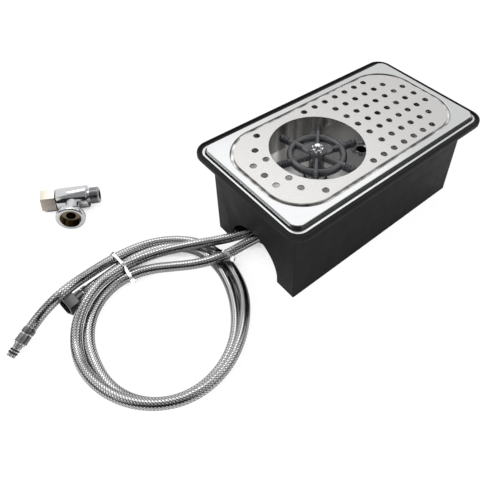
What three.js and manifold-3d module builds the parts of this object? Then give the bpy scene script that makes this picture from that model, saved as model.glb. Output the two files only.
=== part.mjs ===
// A pitcher rinser for a coffee bar: a steel basin in a black housing, with a perforated cover
// plate and a six-armed star. A pitcher pressed down on the star opens the valve under it, and
// water sprays up into the pitcher. Two braided hoses leave through the arch in the end wall and
// lie on the counter in a loop, beside a tee for the water pipe.
// Millimetres, +Z up. X runs along the rinser, and the arch is at its -X end. The origin is at
// the middle of the front wall's bottom edge.

import * as THREE from 'three';
import { mergeGeometries, mergeVertices } from 'three/addons/utils/BufferGeometryUtils.js';
import Module from 'manifold-3d';

const wasm = await Module();
wasm.setup();

// Shared values
const PLATE_TOP = 135; // the cover plate's height above the counter
const CLEARANCE = 0.3; // gap between two separate pieces
const OVERRUN = 2; // how far a cutter runs past what it cuts
const ROUND_SIDES = 24; // sides of a large turned piece
const SMALL_SIDES = 14; // sides of a small turned piece
const CORNER_STEPS = 5; // steps in a rounded corner
const HEX = 6;

// Cover plate
const PLATE_LENGTH = 285;
const PLATE_WIDTH = 139.6;
const PLATE_CORNER = 46;
const PLATE_SHEET = 1.2;
const PLATE_EDGE_DEPTH = 3;
const PLATE_EDGE_ROUND = 0.5;
const OPENING_MARGIN = 12.3; // from the opening to the plate's long edge
const VALVE_END_DISTANCE = 93.5; // from the plate's end to the valve's axis
const HOLE_DIAMETER = 8;
const HOLE_PITCH = 18.2;
const HOLE_ROW_PITCH = 20;
const HOLE_END_MARGIN = 13.3;
const HOLE_WEB = 2; // least metal between a hole and an edge
const HOLE_SIDES = 10;
const OPENING_SIDES = 56;
// Each row of holes counts from both ends of the plate, by its distance from the middle row.
const HOLE_ROWS = [
  { skipped: 0, near: 1, far: 7 },
  { skipped: 0, near: 2, far: 7 },
  { skipped: 1, near: 1, far: 6 },
  { skipped: 2, near: 1, far: 7 },
];

// Drip pan
const PLATE_GAP = 3.8; // between the plate and the recess that it lies in
const BAND_WIDTH = 7.2;
const BAND_CORNER = 10;
const PAN_SHEET = 1;
const PAN_EDGE_ROUND = 0.8;
const LIP_DROP = 5.6;
const LIP_CORNER = 14;
const LIP_REACH_SHARE = 0.46; // of the way from the band to the rim's outside
const LEDGE_WIDTH = 8.3;
const BASIN_DEPTH = 47;

// Housing
const RIM_END_MARGIN = 11.1; // from the pan's band to the rim's outside, at the ends
const RIM_SIDE_MARGIN = 13.5;
const RIM_CORNER = 20;
const RIM_DROP = 3.6;
const RIM_HEIGHT = 8.4;
const RIM_RIDGE = 3;
const RIM_EDGE_ROUND = 1;
const WALL_END_INSET = 16.3; // from the rim's outside to the wall's outside
const WALL_SIDE_INSET = 19.8;
const WALL = 3;
const WALL_CORNER = 4;
const ARCH_RADIUS = 44.5;
const ARCH_SPRING_HEIGHT = 7;
const ARCH_SIDES = 28;

// Star
const STAR_ARMS = 6;
const STAR_TURN = Math.PI / 4;
const STAR_TIP_MARGIN = 4.5;
const STAR_TIP_STEPS = 4;
const STAR_DROP = 12; // from the plate's top to the middle of the arms
const ARM_WIDTH = 5;
const ARM_OUTER_WIDTH = 6.2;
const ARM_DEPTH = 8;
const ARM_BEVEL = 1.2;
const RING_RADIUS = 32;
const RING_WIDTH = 6.4;
const RING_DEPTH = 7;
const RING_BEVEL = 1.2;
const HUB_RADIUS = 11.8;
const HUB_TOP_DROP = 5;
const HUB_WALL = 1.6;
const DISH_DEPTH = 2.6;
const HUB_DEPTH = 12;
const SKIRT_RADIUS = 9.4;
const SKIRT_WALL = 1.2;
const SKIRT_DROP = 34; // from the plate's top to the skirt's lower edge
const PRESS_STROKE = 5;

// Spray nozzle
const NOZZLE_RADIUS = 7.3;
const NOZZLE_HEIGHT = 8.4;
const NOZZLE_CROWN = 1.6;
const NOZZLE_BALL_RADIUS = 2.9;
const NOZZLE_BALL_RISE = 1;
const NOZZLE_SPIGOT_RADIUS = 3.6;
const NOZZLE_SPIGOT = 4;
const NOZZLE_BORE_RADIUS = 1.8;
const NOZZLE_CHAMBER = 2.4;
const JETS = 6;
const JET_RADIUS = 0.9;
const JET_CIRCLE = 4.9;
const JET_SIDES = 8;

// Valve
const NECK_RADIUS = 7.3;
const NECK_WALL = 1;
const NECK_RISE = 21; // above the pan's floor
const SHANK_RADIUS = 10.4;
const SHANK_RISE = 8;
const COLLAR_RADIUS = 13.5;
const COLLAR_HEIGHT = 6;
const COLLAR_LUGS = 8;
const COLLAR_SLOT_WIDTH = 4;
const COLLAR_SLOT_DEPTH = 2.4;
const GASKET_THICKNESS = 1.2;
const GASKET_OVERHANG = 1.6;
const VALVE_FLANGE_RADIUS = 16;
const VALVE_FLANGE = 4;
const VALVE_TAIL_RADIUS = 8.5;
const VALVE_TAIL = 30.8; // below the flange, down to the inlet block
const VALVE_SPIGOT_RADIUS = 6;
const VALVE_SPIGOT = 5;
const VALVE_BORE_RADIUS = 3;
const CHAMBER_RADIUS = 6.2;
const SEAT_BELOW_FLANGE = 8; // from the flange's underside to the poppet's seat
const GUIDE_LENGTH = 6; // of the wall between the spring chamber and the lower chamber
const STEM_RADIUS = 2.6;
const STEM_BORE_RADIUS = 1.2;
const STEM_SHOULDER_RADIUS = 5.6;
const STEM_SHOULDER = 2;
const STEM_TIP = 3; // of the stem below the poppet seal
const STEM_FOOT_RADIUS = 3.8;
const STEM_HOLE_RADIUS = 1;
const POPPET_RADIUS = 5;
const POPPET_THICKNESS = 2.4;
const GLAND_THREAD = 5;
const GLAND_HEAD = 3;
const SPRING_WIRE = 0.6; // radius of the wire
const SPRING_COILS = 7;
const SPRING_STEPS = 8; // in each coil
const SPRING_SIDES = 5;

// Inlet block
const BLOCK_LENGTH = 30;
const BLOCK_WIDTH = 46;
const BLOCK_HEIGHT = 26;
const BLOCK_BEVEL = 1.5;
const BLOCK_BORE_RADIUS = 3.5;
const BLOCK_VALVE_OFFSET = 14; // from the block's rear face to the valve's axis
const STUB_LENGTH = 7; // port A's outside thread, before the block's face
const PORT_A_Y = 17;
const PORT_B_Y = -8;
const STUB_RADIUS = 9.2;
const BOSS_RADIUS = 8.4;

// Drain
const DRAIN_FROM_VALVE = 81.5;
const DRAIN_Y = -2;
const DRAIN_FLANGE_RADIUS = 14.4;
const DRAIN_RING_RADIUS = 12.5;
const DRAIN_GROOVE_RADIUS = 10.5;
const DRAIN_LIP_RADIUS = 7.8;
const DRAIN_BORE_RADIUS = 5.8;
const DRAIN_FLANGE = 1.4;
const DRAIN_STEP = 0.8;
const DRAIN_TAIL_RADIUS = 9;
const DRAIN_TAIL = 26;
const DRAIN_NUT_ACROSS = 27;
const DRAIN_NUT_HEIGHT = 7;
const BARB_CUP_HEIGHT = 11;
const BARB_CUP_WALL = 2.6;
const BARB_RADIUS = 7.6;
const BARB_LENGTH = 22;
const BARB_RIDGES = 4;
const BARB_RIDGE = 0.7;

// Hoses and what is crimped on them
const HOSE_RADIUS = 6;
const HOSE_SIDES = 10;
const HOSE_A_STEPS = 44;
const HOSE_B_STEPS = 38;
const HOSE_DOTS = 10;
const ROUTE_END_X = -96; // where the routes' numbers put the hoses' inner ends
const HOSE_PORT_LEAD = 16; // the straight stretch before a port
const FERRULE_RADIUS = 6.8;
const FERRULE_LENGTH = 16;
const FERRULE_CRIMP = 0.5;
const WATER_BORE_RADIUS = 2.4;
const FITTING_COLLAR_RADIUS = 5.8;
const FITTING_COLLAR = 2;
const FITTING_THREAD_RADIUS = 4.9;
const FITTING_THREAD = 5;
const FITTING_SPIGOT_RADIUS = 4.2;
const FITTING_SPIGOT = 8;
const O_RING_WIRE = 0.75;
const O_RING_PITCH = 3;
const O_RING_FROM_TIP = 2.6;
const HOSE_NUT_ACROSS = 23;
const HOSE_NUT_LENGTH = 12.5;
const HOSE_NUT_WALL = 2.6;
const HOSE_NUT_BEVEL = 1;
const HOSE_NUT_BORE_RADIUS = 9.6;
const TAIL_NECK_RADIUS = 5;
const TAIL_FLANGE = 2.4;
const HOSE_WASHER = 1.8;
const TIE_WIDTH = 4;
const TIE_THICKNESS = 1.1;
const TIE_SLACK = 0.9;
const TIE_HEAD = [5, 6, 4.5];
const TIE_POINTS = 20;

// Tee
const TEE_CENTRE = [-274.6, 229]; // where its two axes cross, on the counter
const TEE_TURN = -0.5;
const TEE_BARREL_RADIUS = 15;
const TEE_BARREL_LENGTH = 38;
const TEE_BEVEL = 1;
const TEE_NUT_ACROSS = 27;
const TEE_NUT_LENGTH = 17.8;
const TEE_NUT_TURN = 0.19; // its corners about the run
const TEE_NUT_GAP = 1.2;
const TEE_NECK_RADIUS = 9.6;
const TEE_NECK_LENGTH = 2.5;
const TEE_THREAD_RADIUS = 11.2;
const TEE_THREAD_LENGTH = 11.6;
const TEE_THREAD_RIDGES = 3;
const TEE_THREAD_DEPTH = 0.8;
const TEE_RUN_BORE_RADIUS = 6.5;
const TEE_TUBE_RADIUS = 7.4;
const TEE_BRANCH_REACH = 43;
const TEE_BRANCH_NECK_RADIUS = 8.5;
const TEE_RIB_RADIUS = 10.5;
const TEE_RIBS = 3;
const TEE_RIBS_LENGTH = 7;
const TEE_FLARE_RADIUS = 17.7;
const TEE_FLARE_SLOPE = 5; // from the ribs to the flare's full width
const TEE_FLARE_LENGTH = 7; // at full width
const TEE_MOUTH_CHAMFER = 1.6;
const TEE_MOUTH_RADIUS = 12.8;
const TEE_BRANCH_BORE_RADIUS = 6;

// Places that follow from the values above
const plateHalf = { x: PLATE_LENGTH / 2, y: PLATE_WIDTH / 2 };
const recessHalf = { x: plateHalf.x + PLATE_GAP, y: plateHalf.y + PLATE_GAP };
const bandHalf = { x: recessHalf.x + BAND_WIDTH, y: recessHalf.y + BAND_WIDTH };
const rimHalf = { x: bandHalf.x + RIM_END_MARGIN, y: bandHalf.y + RIM_SIDE_MARGIN };
const lipHalf = {
  x: bandHalf.x + RIM_END_MARGIN * LIP_REACH_SHARE,
  y: bandHalf.y + RIM_SIDE_MARGIN * LIP_REACH_SHARE,
};
const wallHalf = { x: rimHalf.x - WALL_END_INSET, y: rimHalf.y - WALL_SIDE_INSET };
const basinHalf = { x: recessHalf.x - LEDGE_WIDTH, y: recessHalf.y - LEDGE_WIDTH };
const recessCorner = PLATE_CORNER + PLATE_GAP;
const basinCorner = recessCorner - LEDGE_WIDTH;
const openingRadius = plateHalf.y - OPENING_MARGIN;
const ledgeTop = PLATE_TOP - PLATE_EDGE_DEPTH;
const lipTop = PLATE_TOP - LIP_DROP;
const rimTop = PLATE_TOP - RIM_DROP;
const rimLedge = lipTop - PAN_SHEET;
const panFloor = PLATE_TOP - BASIN_DEPTH;
const panUnderside = panFloor - PAN_SHEET;
const valveX = VALVE_END_DISTANCE - plateHalf.x;
const drainX = valveX + DRAIN_FROM_VALVE;

const blockTop = panUnderside - GASKET_THICKNESS - VALVE_FLANGE - VALVE_TAIL;
const portZ = blockTop - BLOCK_HEIGHT / 2;
const blockFaceX = valveX + BLOCK_VALVE_OFFSET - BLOCK_LENGTH;
const fittingLength = FITTING_COLLAR + FITTING_THREAD + FITTING_SPIGOT;
const ferruleEnd = CLEARANCE + FERRULE_LENGTH; // along a hose's end, from where the braid stops
const nutStart = ferruleEnd + 2 * CLEARANCE;
const flangeStart = nutStart + HOSE_NUT_WALL + CLEARANCE;
const washerStart = flangeStart + TAIL_FLANGE;
const washerEnd = washerStart + HOSE_WASHER;
const hoseEndX = blockFaceX - STUB_LENGTH - washerEnd; // the hoses' inner ends
const routeShift = hoseEndX - ROUTE_END_X;
const seatUnderside = panUnderside - GASKET_THICKNESS - VALVE_FLANGE - SEAT_BELOW_FLANGE;
const neckTop = panFloor + NECK_RISE;
const hubTop = PLATE_TOP - HUB_TOP_DROP;
const dishFloor = hubTop - DISH_DEPTH;

// Where the hoses lie. The points run from the outer end, over the counter, to the arch.
const HOSE_A_ROUTE = [
  [-394.9, 72.2, 15], [-386, 75.8, 17.8], [-373.8, 77.2, 24.6], [-356.6, 76.3, 34.4],
  [-346, 79.3, 34.4], [-335.2, 83.8, 31.5], [-316.5, 93, 22.9], [-297, 100.7, 15.6], [-275.8, 104.7, 11],
  [-253.8, 104.3, 8.7], [-232.3, 99.5, 7.1], [-212.7, 89.4, 6.1], [-196.5, 74.4, 6.1],
  [-185.2, 55.5, 6.1], [-179.8, 34, 6.1], [-179.2, 11.9, 6.1], [-182.7, -10, 6.1],
  [-189.8, -30.9, 7.6], [-200.4, -49.9, 11.5], [-214, -67.1, 14.4], [-230, -82.3, 15.6],
  [-248.4, -94.6, 16.1], [-268.9, -102.7, 16.3], [-290.9, -105.4, 16.3], [-312.7, -102.1, 16.9],
  [-332.4, -92.3, 17.4], [-348.7, -77.4, 17.2], [-361.1, -59.1, 17.1], [-369, -38.5, 16.1],
  [-372.7, -16.7, 14], [-372.1, 5.1, 10.2], [-366.7, 26.5, 9.3], [-355.7, 45, 14],
  [-339.8, 58.8, 20.5], [-321.2, 70.4, 21.8], [-301, 78.9, 18.8], [-279.2, 81.6, 17.4],
  [-257.3, 78.6, 17.7], [-236.2, 72, 18.4], [-216.1, 62.8, 19.5], [-196.8, 51.9, 21.5],
  [-177.3, 41.6, 21.8], [-158.3, 30.6, 24.6], [-138.7, 21.7, 28.9],
];
const HOSE_B_ROUTE = [
  [-327.1, 80.8, 13.6], [-319.3, 82.4, 13.1], [-306.2, 86.8, 9.4], [-284.6, 90.6, 8.3],
  [-262.6, 91.6, 8], [-240.9, 88.6, 7.3], [-220.9, 79.6, 7.7], [-204.9, 64.7, 8.5],
  [-195.1, 45.2, 8.8], [-191.6, 23.6, 8.3], [-193.2, 1.7, 7.4], [-198.9, -19.4, 6.3],
  [-207.7, -39.4, 6.1], [-219.4, -58.1, 6.1], [-234, -74.5, 6.1], [-251.8, -87.4, 6.1],
  [-272.2, -95.6, 6.1], [-293.9, -98.2, 6.1], [-315.5, -94.1, 6.1], [-334.6, -83.4, 6.1],
  [-349.4, -67.2, 6.1], [-358.8, -47.4, 6.1], [-362.5, -25.8, 6.1], [-361.4, -3.9, 6.1],
  [-356.9, 17.5, 6.1], [-347.9, 37.5, 6.1], [-333.8, 54.4, 6.4], [-315.6, 66.4, 7.2],
  [-294.3, 71.6, 8.4], [-272.9, 68.2, 10.8], [-253.7, 58, 14.1], [-236.3, 44.9, 16.6],
  [-218.5, 32, 18.2], [-199.4, 21.5, 20.1], [-178.6, 14.8, 22], [-157.1, 11, 25.4],
  [-136.7, 5, 30.9],
];
const TIE_1_PLACE = [-281, 87]; // on the counter, where the four strands lie side by side
const TIE_2_PLACE = [-181, 13.5]; // where the upper strand crosses the loop
const TIE_2_TURN = -1.126;
const TIE_1_REACH = 40;
const TIE_2_REACH = 10;

// Helpers that make closed solids

// Merge the vertices, drop the triangles that a pole squashed flat, and point the faces out.
function closed(geometry) {
  let work = geometry.clone();
  work.deleteAttribute('normal');
  work.deleteAttribute('uv');
  work = mergeVertices(work);
  const index = work.index.array;
  const place = work.attributes.position;
  const kept = [];
  const [a, b, c] = [new THREE.Vector3(), new THREE.Vector3(), new THREE.Vector3()];
  let volume = 0;
  for (let i = 0; i < index.length; i += 3) {
    const [p, q, r] = [index[i], index[i + 1], index[i + 2]];
    if (p === q || q === r || r === p) continue;
    kept.push(p, q, r);
    volume += a.fromBufferAttribute(place, p)
      .dot(b.fromBufferAttribute(place, q).cross(c.fromBufferAttribute(place, r)));
  }
  work.setIndex(volume < 0 ? kept.reverse() : kept);
  return work;
}

function solid(geometry) {
  const work = closed(geometry);
  return new wasm.Manifold(new wasm.Mesh({
    numProp: 3,
    vertProperties: new Float32Array(work.attributes.position.array),
    triVerts: new Uint32Array(work.index.array),
  }));
}

function geometryOf(manifold) {
  const mesh = manifold.getMesh();
  const geometry = new THREE.BufferGeometry();
  geometry.setAttribute('position', new THREE.BufferAttribute(mesh.vertProperties, 3));
  geometry.setIndex(new THREE.BufferAttribute(mesh.triVerts, 1));
  geometry.computeVertexNormals();
  return geometry;
}

function joined(first, ...rest) {
  return geometryOf(rest.reduce((sum, next) => sum.add(solid(next)), solid(first)));
}

function cut(first, ...cutters) {
  return geometryOf(cutters.reduce((left, next) => left.subtract(solid(next)), solid(first)));
}

// A closed outline in the XY plane: a rectangle with round corners, counterclockwise from above.
function roundedOutline(half, corner, z) {
  const points = [];
  const radius = Math.min(corner, half.x, half.y);
  const quarter = Math.PI / 2;
  for (let side = 0; side < 4; side += 1) {
    const signX = side === 0 || side === 3 ? 1 : -1;
    const signY = side < 2 ? 1 : -1;
    for (let step = 0; step <= CORNER_STEPS; step += 1) {
      const angle = quarter * (side + step / CORNER_STEPS);
      points.push(new THREE.Vector3(
        signX * (half.x - radius) + radius * Math.cos(angle),
        signY * (half.y - radius) + radius * Math.sin(angle),
        z,
      ));
    }
  }
  return points;
}

// A solid through a row of outlines with as many points each. It goes up outside and down
// inside. A ring closes on itself, and any other solid has a flat cap at each end.
function lofted(outlines, ring) {
  const count = outlines[0].length;
  const places = outlines.flat().flatMap((point) => point.toArray());
  const index = [];
  const bands = ring ? outlines.length : outlines.length - 1;
  for (let band = 0; band < bands; band += 1) {
    const low = band * count;
    const high = ((band + 1) % outlines.length) * count;
    for (let i = 0; i < count; i += 1) {
      const j = (i + 1) % count;
      index.push(low + i, low + j, high + j, low + i, high + j, high + i);
    }
  }
  if (!ring) {
    const last = (outlines.length - 1) * count;
    for (let i = 1; i < count - 1; i += 1) {
      index.push(0, i + 1, i, last, last + i, last + i + 1);
    }
  }
  const geometry = new THREE.BufferGeometry();
  geometry.setAttribute('position', new THREE.Float32BufferAttribute(places, 3));
  geometry.setIndex(index);
  return geometry;
}

// A turned solid about Z. Its profile is a list of [radius, z] and closes on itself, unless
// both its ends are on the axis.
function turned(profile, sides = SMALL_SIDES) {
  const points = profile.map(([radius, z]) => new THREE.Vector2(radius, z));
  const last = points[points.length - 1];
  if (points[0].x > 0 || last.x > 0) points.push(points[0].clone());
  const geometry = new THREE.LatheGeometry(points, sides);
  geometry.rotateX(Math.PI / 2);
  return closed(geometry);
}

function tube(outer, inner, bottom, top, sides = SMALL_SIDES) {
  return turned([[inner, bottom], [outer, bottom], [outer, top], [inner, top]], sides);
}

function rod(radius, bottom, top, sides = SMALL_SIDES) {
  return turned([[0, bottom], [radius, bottom], [radius, top], [0, top]], sides);
}

// A hexagon's corner radius, from the size across its flats.
const hexRadius = (across) => across / 2 / Math.cos(Math.PI / HEX);

// A hexagonal nut about Z with both its ends chamfered, and its bore cut later.
function hexBody(across, bottom, top, bevel) {
  const outer = hexRadius(across);
  const block = rod(outer, bottom, top, HEX);
  const inner = across / 2 - bevel;
  const slope = outer + bevel;
  const cone = turned([
    [0, bottom], [inner, bottom], [slope, bottom + slope - inner],
    [slope, top - slope + inner], [inner, top], [0, top],
  ], ROUND_SIDES);
  return top - bottom > 2 * (slope - inner)
    ? geometryOf(solid(block).intersect(solid(cone))) : block;
}

// A flat shape with a bevel round both its faces, standing on z = bottom.
function plateOf(shape, bottom, height, bevel) {
  const geometry = new THREE.ExtrudeGeometry(shape, {
    depth: height - 2 * bevel,
    bevelEnabled: bevel > 0,
    bevelThickness: bevel,
    bevelSize: bevel,
    bevelOffset: -bevel,
    bevelSegments: 1,
    curveSegments: CORNER_STEPS,
  });
  geometry.translate(0, 0, bottom + bevel);
  return closed(geometry);
}

// Scene graph

const rinser = new THREE.Group();
rinser.position.y = wallHalf.y - WALL / 2;

function add(name, geometry, look, home = rinser) {
  geometry.computeVertexNormals();
  const mesh = new THREE.Mesh(geometry, new THREE.MeshStandardMaterial(look));
  mesh.name = name;
  home.add(mesh);
  return mesh;
}

function groupAt(x, y, z, home = rinser) {
  const group = new THREE.Group();
  group.position.set(x, y, z);
  home.add(group);
  return group;
}

const BLACK_PLASTIC = { color: 0x232325, roughness: 0.5, metalness: 0 };
const STAR_PLASTIC = { color: 0x3c4046, roughness: 0.45, metalness: 0 };
const SATIN_STEEL = { color: 0xd8d6d2, roughness: 0.3, metalness: 1 };
const CHROME = { color: 0xe4e6ea, roughness: 0.08, metalness: 1 };
const DARK_CHROME = { color: 0x8c8f94, roughness: 0.2, metalness: 1 };
const BRASS = { color: 0xb89a5a, roughness: 0.3, metalness: 1 };
const BRAID = { color: 0xa9abad, roughness: 0.4, metalness: 1 };
const NUT_STEEL = { color: 0x5d6063, roughness: 0.4, metalness: 1 };
const RUBBER = { color: 0x161616, roughness: 0.7, metalness: 0 };
const WHITE_NYLON = { color: 0xe6e6e2, roughness: 0.5, metalness: 0 };

// Housing: a box without a floor. Its wide rim carries the pan's lip on a sunk ledge.

const inset = (half, x, y = x) => ({ x: half.x - x, y: half.y - y });
const lipPocket = inset(lipHalf, -CLEARANCE);
const ridgeHalf = inset(rimHalf, RIM_RIDGE);
const rimUnderside = rimTop - RIM_HEIGHT;
const lipPocketHalf = {
  x: Math.min(lipPocket.x, ridgeHalf.x - CLEARANCE),
  y: Math.min(lipPocket.y, ridgeHalf.y - CLEARANCE),
};
const shell = lofted([
  roundedOutline(wallHalf, WALL_CORNER, 0),
  roundedOutline(wallHalf, WALL_CORNER, rimUnderside),
  roundedOutline(rimHalf, RIM_CORNER, rimUnderside),
  roundedOutline(rimHalf, RIM_CORNER, rimTop - RIM_EDGE_ROUND),
  roundedOutline(inset(rimHalf, RIM_EDGE_ROUND), RIM_CORNER - RIM_EDGE_ROUND, rimTop),
  roundedOutline(ridgeHalf, RIM_CORNER - RIM_RIDGE, rimTop),
  roundedOutline(ridgeHalf, RIM_CORNER - RIM_RIDGE, rimTop - RIM_DROP / 2),
  roundedOutline(lipPocketHalf, LIP_CORNER, rimTop - RIM_DROP / 2),
  roundedOutline(lipPocketHalf, LIP_CORNER, rimLedge),
  roundedOutline(inset(wallHalf, WALL), WALL_CORNER - WALL, rimLedge),
  roundedOutline(inset(wallHalf, WALL), WALL_CORNER - WALL, 0),
], true);

const archShape = new THREE.Shape();
archShape.moveTo(ARCH_RADIUS, -OVERRUN);
archShape.lineTo(ARCH_RADIUS, ARCH_SPRING_HEIGHT);
archShape.absarc(0, ARCH_SPRING_HEIGHT, ARCH_RADIUS, 0, Math.PI, false);
archShape.lineTo(-ARCH_RADIUS, -OVERRUN);
const archCutter = new THREE.ExtrudeGeometry(archShape, {
  depth: WALL + 2 * OVERRUN,
  bevelEnabled: false,
  curveSegments: ARCH_SIDES,
});
archCutter.rotateX(Math.PI / 2);
archCutter.rotateZ(Math.PI / 2);
archCutter.translate(-wallHalf.x - OVERRUN, 0, 0);
add('housing', cut(shell, archCutter), BLACK_PLASTIC);

// Drip pan: one pressed sheet. Its lip rests on the housing's ledge, and a raised band round
// the recess comes flush with the cover plate.

const basinOuter = inset(basinHalf, -PAN_SHEET);
const panBody = lofted([
  roundedOutline(basinOuter, basinCorner + PAN_SHEET, panUnderside),
  roundedOutline(basinOuter, basinCorner + PAN_SHEET, ledgeTop - PAN_SHEET),
  roundedOutline(inset(recessHalf, -PAN_SHEET), recessCorner, ledgeTop - PAN_SHEET),
  roundedOutline(inset(recessHalf, -PAN_SHEET), recessCorner, PLATE_TOP - PAN_SHEET),
  roundedOutline(inset(bandHalf, PAN_SHEET), BAND_CORNER, PLATE_TOP - PAN_SHEET),
  roundedOutline(inset(bandHalf, -PAN_EDGE_ROUND), BAND_CORNER, rimLedge),
  roundedOutline(lipHalf, LIP_CORNER, rimLedge),
  roundedOutline(lipHalf, LIP_CORNER, lipTop),
  roundedOutline(inset(bandHalf, -PAN_SHEET - PAN_EDGE_ROUND), BAND_CORNER + PAN_SHEET, lipTop),
  roundedOutline(bandHalf, BAND_CORNER, PLATE_TOP - PAN_EDGE_ROUND),
  roundedOutline(inset(bandHalf, PAN_EDGE_ROUND), BAND_CORNER, PLATE_TOP),
  roundedOutline(inset(recessHalf, -PAN_EDGE_ROUND / 2), recessCorner, PLATE_TOP),
  roundedOutline(recessHalf, recessCorner, PLATE_TOP - PAN_EDGE_ROUND),
  roundedOutline(recessHalf, recessCorner, ledgeTop),
  roundedOutline(basinHalf, basinCorner, ledgeTop),
  roundedOutline(basinHalf, basinCorner, panFloor),
], false);
const valveHole = rod(SHANK_RADIUS + CLEARANCE, panUnderside - OVERRUN, panFloor + OVERRUN);
valveHole.translate(valveX, 0, 0);
const drainHole = rod(DRAIN_TAIL_RADIUS + CLEARANCE, panUnderside - OVERRUN, panFloor + OVERRUN);
drainHole.translate(drainX, DRAIN_Y, 0);
add('drip_pan', cut(panBody, valveHole, drainHole), SATIN_STEEL);

// Cover plate: its edge is turned down onto the pan's ledge.

const plateInner = inset(plateHalf, PLATE_SHEET);
const plateBody = lofted([
  roundedOutline(plateInner, PLATE_CORNER - PLATE_SHEET, PLATE_TOP - PLATE_SHEET),
  roundedOutline(plateInner, PLATE_CORNER - PLATE_SHEET, ledgeTop),
  roundedOutline(plateHalf, PLATE_CORNER, ledgeTop),
  roundedOutline(plateHalf, PLATE_CORNER, PLATE_TOP - PLATE_EDGE_ROUND),
  roundedOutline(
    inset(plateHalf, PLATE_EDGE_ROUND), PLATE_CORNER - PLATE_EDGE_ROUND, PLATE_TOP,
  ),
], false);

// A hole is drilled where it leaves metal towards the opening and the plate's edge.
function holeFits(x, y) {
  const radius = HOLE_DIAMETER / 2;
  const toValve = Math.hypot(x - valveX, y);
  const cornerX = Math.max(Math.abs(x) - plateHalf.x + PLATE_CORNER, 0);
  const cornerY = Math.max(Math.abs(y) - plateHalf.y + PLATE_CORNER, 0);
  return toValve > openingRadius + radius + HOLE_WEB
    && Math.hypot(cornerX, cornerY) < PLATE_CORNER - PLATE_SHEET - radius - HOLE_WEB / 2;
}

const holes = [];
HOLE_ROWS.forEach(({ skipped, near, far }, row) => {
  const sides = row === 0 ? [1] : [1, -1];
  for (const side of sides) {
    for (const [end, count] of [[-1, near], [1, far]]) {
      for (let i = skipped; i < skipped + count; i += 1) {
        const x = end * (plateHalf.x - HOLE_END_MARGIN - i * HOLE_PITCH);
        const y = side * row * HOLE_ROW_PITCH;
        if (!holeFits(x, y)) continue;
        const hole = rod(
          HOLE_DIAMETER / 2, ledgeTop - OVERRUN, PLATE_TOP + OVERRUN, HOLE_SIDES,
        );
        hole.translate(x, y, 0);
        holes.push(hole);
      }
    }
  }
});
const opening = rod(openingRadius, ledgeTop - OVERRUN, PLATE_TOP + OVERRUN, OPENING_SIDES);
opening.translate(valveX, 0, 0);
add('cover_plate', cut(plateBody, opening, mergeGeometries(holes)), SATIN_STEEL);

// Valve: everything here stands about the valve's axis.

const valve = groupAt(valveX, 0, 0);

// Star: the arms' outer ends are wider, and their edges are bevelled.
const tipRadius = openingRadius - STAR_TIP_MARGIN;
const armMiddle = PLATE_TOP - STAR_DROP;
const armBottom = armMiddle - ARM_DEPTH / 2;
const armShape = new THREE.Shape();
const shoulderStart = RING_RADIUS;
const shoulderEnd = RING_RADIUS + RING_WIDTH / 2;
const tipCentre = tipRadius - ARM_OUTER_WIDTH / 2;
armShape.moveTo(SKIRT_RADIUS, -ARM_WIDTH / 2);
armShape.lineTo(shoulderStart, -ARM_WIDTH / 2);
armShape.lineTo(shoulderEnd, -ARM_OUTER_WIDTH / 2);
for (let i = 0; i <= STAR_TIP_STEPS; i += 1) {
  const angle = Math.PI * (i / STAR_TIP_STEPS) - Math.PI / 2;
  armShape.lineTo(
    tipCentre + (ARM_OUTER_WIDTH / 2) * Math.cos(angle),
    (ARM_OUTER_WIDTH / 2) * Math.sin(angle),
  );
}
armShape.lineTo(shoulderEnd, ARM_OUTER_WIDTH / 2);
armShape.lineTo(shoulderStart, ARM_WIDTH / 2);
armShape.lineTo(SKIRT_RADIUS, ARM_WIDTH / 2);

const ringBottom = armMiddle - RING_DEPTH / 2;
const ringTop = armMiddle + RING_DEPTH / 2;
const ringOut = RING_RADIUS + RING_WIDTH / 2;
const ringIn = RING_RADIUS - RING_WIDTH / 2;
const hubBottom = hubTop - HUB_DEPTH;
const skirtBottom = PLATE_TOP - SKIRT_DROP;
const stemSocket = STEM_RADIUS + CLEARANCE / 2;
const socketTop = dishFloor - NOZZLE_SPIGOT - CLEARANCE;
const starSpigotHole = NOZZLE_SPIGOT_RADIUS + CLEARANCE;
const star = [
  turned([
    [stemSocket, hubBottom], [SKIRT_RADIUS - SKIRT_WALL, hubBottom],
    [SKIRT_RADIUS - SKIRT_WALL, skirtBottom], [SKIRT_RADIUS, skirtBottom],
    [SKIRT_RADIUS, hubBottom], [HUB_RADIUS - HUB_WALL, hubBottom + HUB_WALL],
    [HUB_RADIUS, hubTop - DISH_DEPTH - HUB_WALL], [HUB_RADIUS, hubTop - HUB_WALL / 2],
    [HUB_RADIUS - HUB_WALL / 2, hubTop], [HUB_RADIUS - HUB_WALL, hubTop],
    [HUB_RADIUS - HUB_WALL, dishFloor], [starSpigotHole, dishFloor],
    [starSpigotHole, socketTop], [stemSocket, socketTop],
  ], ROUND_SIDES),
  turned([
    [ringIn, ringBottom], [ringOut, ringBottom], [ringOut, ringTop - RING_BEVEL],
    [ringOut - RING_BEVEL, ringTop], [ringIn + RING_BEVEL, ringTop],
    [ringIn, ringTop - RING_BEVEL],
  ], ROUND_SIDES),
];
for (let i = 0; i < STAR_ARMS; i += 1) {
  const arm = plateOf(armShape, armBottom, ARM_DEPTH, ARM_BEVEL);
  arm.rotateZ(STAR_TURN + (2 * Math.PI * i) / STAR_ARMS);
  star.push(arm);
}
add('star_actuator', joined(...star), STAR_PLASTIC, valve);

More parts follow.
